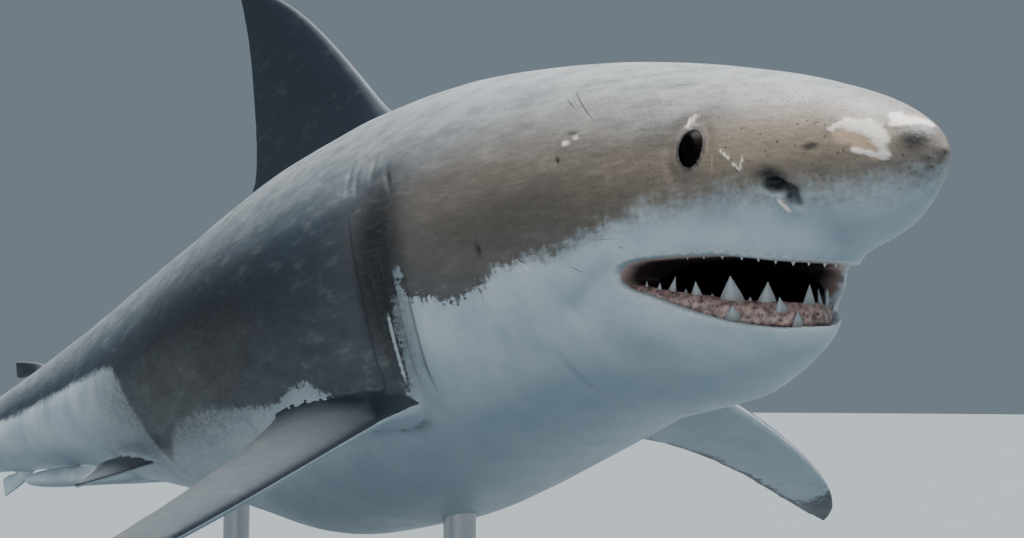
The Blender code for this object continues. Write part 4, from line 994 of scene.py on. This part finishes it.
# scales drawn at 4 mm, coarser than the real quarter millimetre, so that they show
scales = put(tree, "TexNoise", {"Vector": straight_at, "Scale": 1 / 0.004, "Detail": 2.0}).outputs["Fac"]
wrinkles = put(tree, "TexNoise", {"Vector": drawn_out, "Scale": 1 / 0.020, "Detail": 4.0,
                                  "Roughness": 0.6}).outputs["Fac"]
relief = put(tree, "Math", {0: wrinkles, 1: 3.0, 2: scales}, operation="MULTIPLY_ADD").outputs[0]
bump = put(tree, "Bump", {"Height": relief, "Strength": 0.25, "Distance": 0.0012}).outputs["Normal"]
tree.links.new(bump, shader.inputs["Normal"])
rough = put(tree, "MapRange", {"Value": mottle, "From Min": 0.3, "From Max": 0.7, "To Min": 0.38,
                               "To Max": 0.55}).outputs["Result"]
tree.links.new(rough, shader.inputs["Roughness"])
shader.inputs["IOR"].default_value = 1.45
hide.data.materials.clear()
hide.data.materials.append(skin)
hide.data.polygons.foreach_set("material_index", [0] * len(hide.data.polygons))
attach(hide, "root")
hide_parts("head", "lower_jaw", "gills", "front_trunk", "rear_trunk", "tail_stalk", "dorsal_fin",
            "second_dorsal_fin", "anal_fin", "caudal_fin", "pectoral_fin_right", "pectoral_fin_left",
            "pelvic_fin_right", "pelvic_fin_left", "clasper_right", "clasper_left")


# ---- Eyes --------------------------------------------------------------------
# Two black-brown eyes, each a dull ball deep in its socket with a flattened front,
# narrower along the head than it is high. The ring of the iris hardly shows.

def into_pose(piece):
    """Carry a finished straight piece into the swimming pose."""
    settle(piece)
    for vert, place in zip(piece.data.vertices, pose_points([v.co for v in piece.data.vertices])):
        vert.co = place


CORNEA_SHARE = 0.35               # how much of the ball's bulge is left outside the lids

eye_finish, tree, shader = new_finish("wet_cornea_black")
pupil_at = put(tree, "Attribute", attribute_name="from_pupil").outputs["Fac"]
ring = put(tree, "MapRange", {"Value": pupil_at, "From Min": 0.55, "From Max": 0.80}).outputs["Result"]
eye_colour = put(tree, "Mix", {0: ring, 6: srgb("#080505"), 7: srgb("#1a110d")}, data_type="RGBA").outputs[2]
tree.links.new(eye_colour, shader.inputs["Base Color"])
shader.inputs["Roughness"].default_value = 0.42
shader.inputs["Specular IOR Level"].default_value = 0.04
for side, name in ((-1, "eye_right"), (1, "eye_left")):
    select_none()
    bpy.ops.mesh.primitive_uv_sphere_add(segments=64, ring_count=40, radius=EYE_RADIUS * TOTAL_LENGTH)
    eye = bpy.context.object
    eye.name = name.replace("eye", "eyeball")
    eye.rotation_euler = (0.0, math.radians(90.0 * side), 0.0)
    settle(eye)
    radius = EYE_RADIUS * TOTAL_LENGTH
    facing = []
    for vert in eye.data.vertices:
        out = vert.co.x * side / radius
        facing.append(math.acos(max(-1.0, min(1.0, out))) / (math.pi / 2.0))
        proud = max(0.0, vert.co.x * side - EYE_INSET * TOTAL_LENGTH)
        vert.co.x -= side * proud * (1.0 - CORNEA_SHARE)
        vert.co.y *= EYE_NARROW
    keep_strength(eye.data, "from_pupil", facing)
    eye.location = eye_middle(side)
    into_pose(eye)
    bpy.ops.object.shade_smooth()
    eye.data.materials.append(eye_finish)
    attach(eye, "root")
    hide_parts(name)


# ---- Gums --------------------------------------------------------------------
# Wet, mottled flesh along both jaws, that the teeth grow from. The lower one stands
# up behind the lip like a wall, highest at the front; the upper is all but hidden.

UPPER_GUM_FRONT, LOWER_GUM_FRONT, UPPER_GUM_INSET, LOWER_GUM_INSET = 0.0480, 0.0575, 0.0060, 0.0034
GUM_RADIUS = 0.0085
# height of the lower gum's top above the lip, in metres, by share of the way round the jaw
GUM_TOPS = ((0.0, 0.006), (0.08, 0.012), (0.14, 0.019), (0.20, 0.027), (0.28, 0.033), (0.42, 0.037),
            (0.50, 0.035),
            (0.60, 0.036), (0.80, 0.027), (0.90, 0.014), (1.0, 0.006))


def gum_path(lips, front, steps, inset):
    """Points in metres along the gum, from the right corner round the front to the left corner."""
    last = MOUTH_CORNER[0] - 0.003
    station = front + (last - front) * (np.arange(steps + 1) / steps) ** 1.8
    reach = half_width_at(station, lip_height(lips, station) - 0.001 * (lips is LOWER_LIP))
    reach = (reach - inset) * (1.0 - np.exp(-(station - front) / 0.0016))
    half = np.stack((reach, station, lip_height(lips, station)), 1)
    right = half[::-1] * (-1.0, 1.0, 1.0)
    return np.concatenate((right, half[1:])) * TOTAL_LENGTH


def shares_along(path):
    """Share of the path's length at each of its points."""
    lengths = np.concatenate(([0.0], np.cumsum(np.linalg.norm(np.diff(path, axis=0), axis=1))))
    return lengths / lengths[-1]


def gum_strip(name, lips, front, inset, deep, tops):
    """A strip of gum: its rounded top stands at a height above the lip, its foot is buried."""
    path = gum_path(lips, front, 80, inset)
    way = np.gradient(path, axis=0)
    top = np.interp(shares_along(path), *zip(*tops))
    turn = 2.0 * np.pi * np.arange(28) / 28
    strips = []
    for point, along, top_here in zip(path, way, top):
        outward_way = Vector(along).cross((0.0, 0.0, 1.0)).normalized()
        rise = np.sin(turn) * deep + top_here - deep
        out = np.cos(turn) * GUM_RADIUS - 0.60 * np.maximum(0.0, -rise) - 0.10 * np.maximum(0.0, rise)
        ring = point + np.outer(out, outward_way) + np.outer(rise, (0.0, 0.0, 1.0))
        swell = np.array([1.0 + 0.12 * noise.noise(Vector(p) * 45.0) + 0.10 * noise.noise(Vector(p) * 120.0)
                          for p in ring])
        middle = ring.mean(axis=0)
        strips.append(middle + (ring - middle) * swell[:, None])
    made = closed_tube(name, np.array(strips))
    into_pose(made)
    bpy.ops.object.shade_smooth()
    return made


gum_finish, tree, shader = new_finish("wet_gum_flesh")
object_at = put(tree, "TexCoord").outputs["Object"]
blot = put(tree, "TexNoise", {"Vector": object_at, "Scale": 1 / 0.012, "Detail": 4.0,
                              "Roughness": 0.6}).outputs["Fac"]
pits = put(tree, "TexVoronoi", {"Vector": object_at, "Scale": 1 / 0.009}).outputs["Distance"]
blotched = put(tree, "MapRange", {"Value": blot, "From Min": 0.38, "From Max": 0.62}).outputs["Result"]
flesh = put(tree, "Mix", {0: blotched, 6: srgb("#c9a79b"), 7: srgb("#6d5757")}, data_type="RGBA").outputs[2]
pitted = put(tree, "MapRange", {"Value": pits, "From Min": 0.10, "From Max": 0.32, "To Min": 0.85,
                                "To Max": 0.0}).outputs["Result"]
flesh = put(tree, "Mix", {0: pitted, 6: flesh, 7: srgb("#43353a")}, data_type="RGBA").outputs[2]
tree.links.new(flesh, shader.inputs["Base Color"])
gum_bump = put(tree, "Bump", {"Height": blot, "Strength": 0.5, "Distance": 0.002}).outputs["Normal"]
tree.links.new(gum_bump, shader.inputs["Normal"])
shader.inputs["Roughness"].default_value = 0.35
for name, lips, front, inset, deep, tops in (
        ("upper_gum", UPPER_LIP, UPPER_GUM_FRONT, UPPER_GUM_INSET, 0.012, ((0.0, 0.026), (1.0, 0.026))),
        ("lower_gum", LOWER_LIP, LOWER_GUM_FRONT, LOWER_GUM_INSET, 0.018, GUM_TOPS)):
    gum = gum_strip(name, lips, front, inset, deep, tops)
    gum.data.materials.append(gum_finish)
    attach(gum, "root")
    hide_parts(name + "_and_teeth")


# ---- Teeth -------------------------------------------------------------------
# Flat triangular blades of enamel in a dull blue-grey that is painted shade, darker at the
# root. One tooth is modelled and copied along the gums in uneven sizes, with a few of the
# next row behind.

select_none()
bpy.ops.mesh.primitive_circle_add(vertices=12, radius=0.5, fill_type="NGON")
tooth = bpy.context.object
tooth.name = "tooth"
bpy.ops.object.mode_set(mode="EDIT")
bpy.ops.mesh.select_all(action="SELECT")
bpy.ops.transform.resize(value=(1.0, 0.30, 1.0))
for rise, narrower, thinner in ((0.14, 0.98, 1.0), (0.22, 0.80, 0.88), (0.26, 0.61, 0.72), (0.24, 0.40, 0.55),
                                (0.14, 0.15, 0.30)):
    bpy.ops.mesh.extrude_region_move(TRANSFORM_OT_translate={"value": (0.0, 0.0, rise)})
    bpy.ops.transform.resize(value=(narrower, thinner, 1.0))
bpy.ops.object.mode_set(mode="OBJECT")

enamel, tree, shader = new_finish("tooth_enamel_greyed_as_painted_shade")
root_at = put(tree, "Attribute", attribute_name="from_root").outputs["Fac"]
object_at = put(tree, "TexCoord").outputs["Object"]
streak = put(tree, "TexNoise", {"Vector": object_at, "Scale": 1 / 0.006, "Detail": 3.0}).outputs["Fac"]
rooted = put(tree, "MapRange", {"Value": root_at, "From Min": 0.05, "From Max": 0.5}).outputs["Result"]
# painted shade: the enamel is greyed to a dull blue-grey; it is darker and browner at the root
enamel_greyed_as_painted_shade = put(tree, "Mix", {0: rooted, 6: srgb("#7d766f"), 7: srgb("#a6adb1")}, data_type="RGBA").outputs[2]
stain = put(tree, "MapRange", {"Value": streak, "From Min": 0.5, "From Max": 0.8, "To Min": 0.0,
                               "To Max": 0.35}).outputs["Result"]
enamel_greyed_as_painted_shade = put(tree, "Mix", {0: stain, 6: enamel_greyed_as_painted_shade, 7: srgb("#a9987e")}, data_type="RGBA").outputs[2]
tree.links.new(enamel_greyed_as_painted_shade, shader.inputs["Base Color"])
shader.inputs["Roughness"].default_value = 0.22
shader.inputs["Coat Weight"].default_value = 0.3

# share of the way round the jaw from the right corner, width, height shown, lean out, lean back, how far in
# from the middle of the gum, how far the foot is below the gum's top; metres. The teeth of a living shark
# stand unevenly: some lean, some are half grown, and one stands outside, over the lip.
LOWER_TEETH = (
    (0.035, 0.008, 0.008, 0.0, 0.1, 0.000, 0.001), (0.070, 0.010, 0.009, 0.1, 0.2, 0.000, 0.001),
    (0.104, 0.014, 0.022, 0.0, 0.3, 0.000, 0.001), (0.145, 0.013, 0.008, 0.0, 0.1, 0.004, 0.002),
    (0.177, 0.019, 0.020, 0.1, 0.0, 0.000, 0.002), (0.222, 0.014, 0.007, 0.0, -0.1, 0.004, 0.003),
    (0.272, 0.038, 0.034, 0.1, 0.0, 0.000, 0.003), (0.270, 0.026, 0.014, 0.2, 0.1, -0.0052, 0.026),
    (0.318, 0.015, 0.008, 0.0, 0.1, 0.004, 0.003), (0.362, 0.032, 0.032, 0.0, 0.1, 0.002, 0.004),
    (0.400, 0.024, 0.020, 0.1, -0.1, -0.0035, 0.014), (0.436, 0.018, 0.016, 0.2, 0.0, -0.0062, 0.030),
    (0.472, 0.021, 0.028, 0.0, 0.1, 0.000, 0.002), (0.515, 0.018, 0.026, -0.2, 0.3, 0.000, 0.002),
    (0.560, 0.020, 0.026, 0.1, -0.1, 0.000, 0.003), (0.610, 0.014, 0.018, 0.4, -0.3, -0.004, 0.006),
    (0.655, 0.030, 0.026, 0.1, 0.0, 0.000, 0.003), (0.705, 0.028, 0.024, 0.0, 0.1, 0.000, 0.003),
    (0.755, 0.025, 0.022, 0.1, 0.0, 0.000, 0.003), (0.805, 0.021, 0.020, 0.0, 0.1, 0.000, 0.003),
    (0.850, 0.018, 0.016, 0.0, 0.2, 0.000, 0.002), (0.895, 0.014, 0.012, 0.0, 0.1, 0.000, 0.002),
    (0.935, 0.010, 0.009, 0.0, 0.1, 0.000, 0.001),
)
UPPER_TEETH_COUNT = 24


def plant(share, path, up, width, tall, lean_out, lean_back, inset, foot):
    """A copy of the tooth at a share of the gum's path, standing up from the jaw or down from it."""
    at, ahead = (Vector([float(np.interp(place, shares_along(path), path[:, c])) for c in range(3)])
                 for place in (share, share + 0.01))
    along = (ahead - at).normalized()
    outward_way = along.cross((0.0, 0.0, 1.0)).normalized()
    lean = (up + outward_way * lean_out + along * lean_back).normalized()
    across = (along - lean * along.dot(lean)).normalized()
    turn = Matrix((across, lean.cross(across), lean)).transposed()
    made = tooth.copy()
    made.data = tooth.data.copy()
    bpy.context.scene.collection.objects.link(made)
    keep_strength(made.data, "from_root", [v.co.z for v in made.data.vertices])
    scale = Matrix.Diagonal((width, min(width, 0.020) * 1.1, tall + 0.008))
    for vert in made.data.vertices:
        vert.co = turn @ (scale @ vert.co) + at + up * (foot - 0.008) - outward_way * inset
    return made


def join_teeth(name, row, node):
    """One piece from a row of planted teeth."""
    show_only(row[0])
    for made in row:
        made.select_set(True)
    bpy.ops.object.join()
    row = bpy.context.object
    row.name = name
    into_pose(row)
    shape = bmesh.new()
    shape.from_mesh(row.data)
    bmesh.ops.recalc_face_normals(shape, faces=shape.faces)
    shape.to_mesh(row.data)
    shape.free()
    bpy.ops.object.shade_smooth_by_angle(angle=math.radians(50))
    row.data.materials.append(enamel)
    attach(row, "root")
    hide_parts(node)


path = gum_path(LOWER_LIP, LOWER_GUM_FRONT, 80, LOWER_GUM_INSET)
join_teeth("lower_teeth", [plant(share, path, Vector((0.0, 0.0, 1.0)), width, tall, lean_out, lean_back,
                                 inset,
                                 float(np.interp(share, *zip(*GUM_TOPS))) - sunk)
                           for share, width, tall, lean_out, lean_back, inset, sunk in LOWER_TEETH],
           "lower_gum_and_teeth")
# the upper teeth hang back from the lip; only their tips show from outside
path = gum_path(UPPER_LIP, UPPER_GUM_FRONT, 80, UPPER_GUM_INSET)
chance = np.random.default_rng(11)
upper_row = []
for k in range(UPPER_TEETH_COUNT):
    share = (k + 0.5) / UPPER_TEETH_COUNT
    size = (1.0 - 0.5 * abs(2.0 * share - 1.0) ** 2) * chance.uniform(0.8, 1.1)
    upper_row.append(plant(share, path, Vector((0.0, 0.0, -1.0)), 0.026 * size, 0.015 + 0.006 * size,
                           chance.uniform(-0.4, -0.1),
                           chance.uniform(-0.1, 0.1), 0.002, -0.016))
join_teeth("upper_teeth", upper_row, "upper_gum_and_teeth")
bpy.data.objects.remove(tooth)


# ---- Display stand -----------------------------------------------------------
# A black-stained wooden base with eased edges, and two brushed steel rods, each
# screwed down by a round foot flange and let into the belly.

low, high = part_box("stand_base")
size = high - low
select_none()
bpy.ops.mesh.primitive_cube_add(size=1.0, location=(low + high) / 2.0)
base = bpy.context.object
base.name = "display_base"
base.scale = size
settle(base)
bpy.ops.object.mode_set(mode="EDIT")
bpy.ops.mesh.select_all(action="DESELECT")
bpy.ops.mesh.select_mode(type="EDGE")
shape = bmesh.from_edit_mesh(base.data)
for edge in shape.edges:
    edge.select_set(abs(edge.verts[0].co.z - edge.verts[1].co.z) > size.z / 2.0)
bmesh.update_edit_mesh(base.data)
bpy.ops.mesh.bevel(offset=0.09, segments=16, profile=0.5, affect="EDGES")
bpy.ops.mesh.select_all(action="DESELECT")
shape = bmesh.from_edit_mesh(base.data)
for edge in shape.edges:
    level = all(abs(v.co.z - high.z) < 0.0005 for v in edge.verts)
    edge.select_set(level and edge.is_boundary is False and len({round(f.normal.z,
                                                                       1) for f in edge.link_faces}) > 1)
bmesh.update_edit_mesh(base.data)
bpy.ops.mesh.bevel(offset=0.006, segments=4, profile=0.5, affect="EDGES")
bpy.ops.object.mode_set(mode="OBJECT")
bpy.ops.object.shade_smooth_by_angle(angle=math.radians(30))

wood, tree, shader = new_finish("black_stained_ash")
object_at = put(tree, "TexCoord").outputs["Object"]
lengthways = put(tree, "Mapping", {"Vector": object_at, "Scale": (1.0, 0.06, 1.0)}).outputs["Vector"]
grain = put(tree, "TexNoise", {"Vector": lengthways, "Scale": 1 / 0.005, "Detail": 5.0, "Roughness": 0.6,
                               "Distortion": 0.4}).outputs["Fac"]
grained = put(tree, "MapRange", {"Value": grain, "From Min": 0.35, "From Max": 0.7}).outputs["Result"]
stained = put(tree, "Mix", {0: grained, 6: srgb("#1b1918"), 7: srgb("#35302d")}, data_type="RGBA").outputs[2]
tree.links.new(stained, shader.inputs["Base Color"])
grain_bump = put(tree, "Bump", {"Height": grain, "Strength": 0.25, "Distance": 0.0006}).outputs["Normal"]
tree.links.new(grain_bump, shader.inputs["Normal"])
shader.inputs["Roughness"].default_value = 0.42
base.data.materials.append(wood)
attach(base, "root")
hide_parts("stand_base")

steel, tree, shader = new_finish("brushed_stainless_steel")
object_at = put(tree, "TexCoord").outputs["Object"]
round_rod = put(tree, "Mapping", {"Vector": object_at, "Scale": (0.1, 0.1, 1.0)}).outputs["Vector"]
brushing = put(tree, "TexNoise", {"Vector": round_rod, "Scale": 1 / 0.0012, "Detail": 3.0}).outputs["Fac"]
brushed = put(tree, "MapRange", {"Value": brushing, "To Min": 0.26, "To Max": 0.44}).outputs["Result"]
steel_tone = put(tree, "Mix", {0: brushing, 6: srgb("#8e9092"), 7: srgb("#b4b6b8")},
                 data_type="RGBA").outputs[2]
tree.links.new(steel_tone, shader.inputs["Base Color"])
tree.links.new(brushed, shader.inputs["Roughness"])
shader.inputs["Metallic"].default_value = 1.0
for name in ("stand_rod_front", "stand_rod_rear"):
    low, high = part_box(name)
    middle = (low + high) / 2.0
    select_none()
    bpy.ops.mesh.primitive_cylinder_add(vertices=96, radius=0.075, depth=0.014,
                                        location=(middle.x, middle.y, low.z + 0.007))
    rod = bpy.context.object
    rod.name = name.replace("stand", "steel")
    settle(rod)
    bpy.ops.object.mode_set(mode="EDIT")
    bpy.ops.mesh.select_mode(type="FACE")
    bpy.ops.mesh.select_all(action="DESELECT")
    shape = bmesh.from_edit_mesh(rod.data)
    for face in shape.faces:
        face.select_set(face.normal.z > 0.9)
    bmesh.update_edit_mesh(rod.data)
    bpy.ops.mesh.extrude_region_move(TRANSFORM_OT_translate={"value": (0.0, 0.0, 0.004)})
    bpy.ops.transform.resize(value=(0.95, 0.95, 1.0))
    bpy.ops.mesh.inset(thickness=0.028)
    for rise, radius_now, radius_next in ((0.006, 0.04325, 0.038), (0.008, 0.038, 0.034),
                                          (0.006, 0.034, 0.032)):
        bpy.ops.mesh.extrude_region_move(TRANSFORM_OT_translate={"value": (0.0, 0.0, rise)})
        bpy.ops.transform.resize(value=(radius_next / radius_now, radius_next / radius_now, 1.0))
    bpy.ops.mesh.extrude_region_move(TRANSFORM_OT_translate={"value": (0.0, 0.0, high.z - low.z - 0.038)})
    bpy.ops.object.mode_set(mode="OBJECT")
    bpy.ops.object.shade_smooth_by_angle(angle=math.radians(35))
    rod.data.materials.append(steel)
    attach(rod, "root")
    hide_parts(name)


# ---- Floor, light and camera -------------------------------------------------
# A plain pale floor under one wide soft lamp, with a weak fill, and a camera at
# the front right of the animal, a little below its snout. The camera's place,
# direction and lens are the result of a fit of the outline to the picture.

select_none()
bpy.ops.mesh.primitive_circle_add(vertices=128, radius=40.0, fill_type="NGON")
floor = bpy.context.object
floor.name = "studio_floor"
paint, tree, shader = new_finish("matt_floor_paint")
object_at = put(tree, "TexCoord").outputs["Object"]
roller = put(tree, "TexNoise", {"Vector": object_at, "Scale": 3.0, "Detail": 4.0}).outputs["Fac"]
floor_tone = put(tree, "Mix", {0: roller, 6: srgb("#7d858a"), 7: srgb("#838b90")},
                 data_type="RGBA").outputs[2]
tree.links.new(floor_tone, shader.inputs["Base Color"])
shader.inputs["Roughness"].default_value = 0.8
floor.data.materials.append(paint)

world = bpy.data.worlds.new("studio")
bpy.context.scene.world = world
world.use_nodes = True
world.node_tree.nodes["Background"].inputs["Color"].default_value = srgb("#b9cbdb")
world.node_tree.nodes["Background"].inputs["Strength"].default_value = 0.34

overhead_data = bpy.data.lights.new("overhead_softbox", "SUN")
overhead_data.energy, overhead_data.angle = 8.6, math.radians(40.0)
overhead = bpy.data.objects.new("overhead_softbox", overhead_data)
overhead.rotation_euler = Vector((-0.10, 0.18, -1.0)).to_track_quat("-Z", "Y").to_euler()
bpy.context.scene.collection.objects.link(overhead)
fill_data = bpy.data.lights.new("fill_lamp", "AREA")
fill_data.shape, fill_data.size, fill_data.energy = "DISK", 3.0, 30.0
fill = bpy.data.objects.new("fill_lamp", fill_data)
fill.location = (-4.5, -4.5, 2.6)
fill.rotation_euler = (Vector((0.0, -0.8, 1.3)) - fill.location).to_track_quat("-Z", "Y").to_euler()
bpy.context.scene.collection.objects.link(fill)

CAMERA_PLACE = Vector((-1.6368, -2.8377, 1.1022))
LOOKING, CAMERA_UP = Vector((0.599047, 0.797609, 0.070446)), Vector((-0.042217, -0.056394, 0.997516))
camera_data = bpy.data.cameras.new("camera")
camera_data.lens, camera_data.sensor_width = 52.28, 36.0
camera = bpy.data.objects.new("camera", camera_data)
right = LOOKING.cross(CAMERA_UP).normalized()
camera.matrix_world = Matrix.Translation(CAMERA_PLACE) @ Matrix((right, CAMERA_UP,
                                                                 -LOOKING)).transposed().to_4x4()
bpy.context.scene.collection.objects.link(camera)
bpy.context.scene.camera = camera
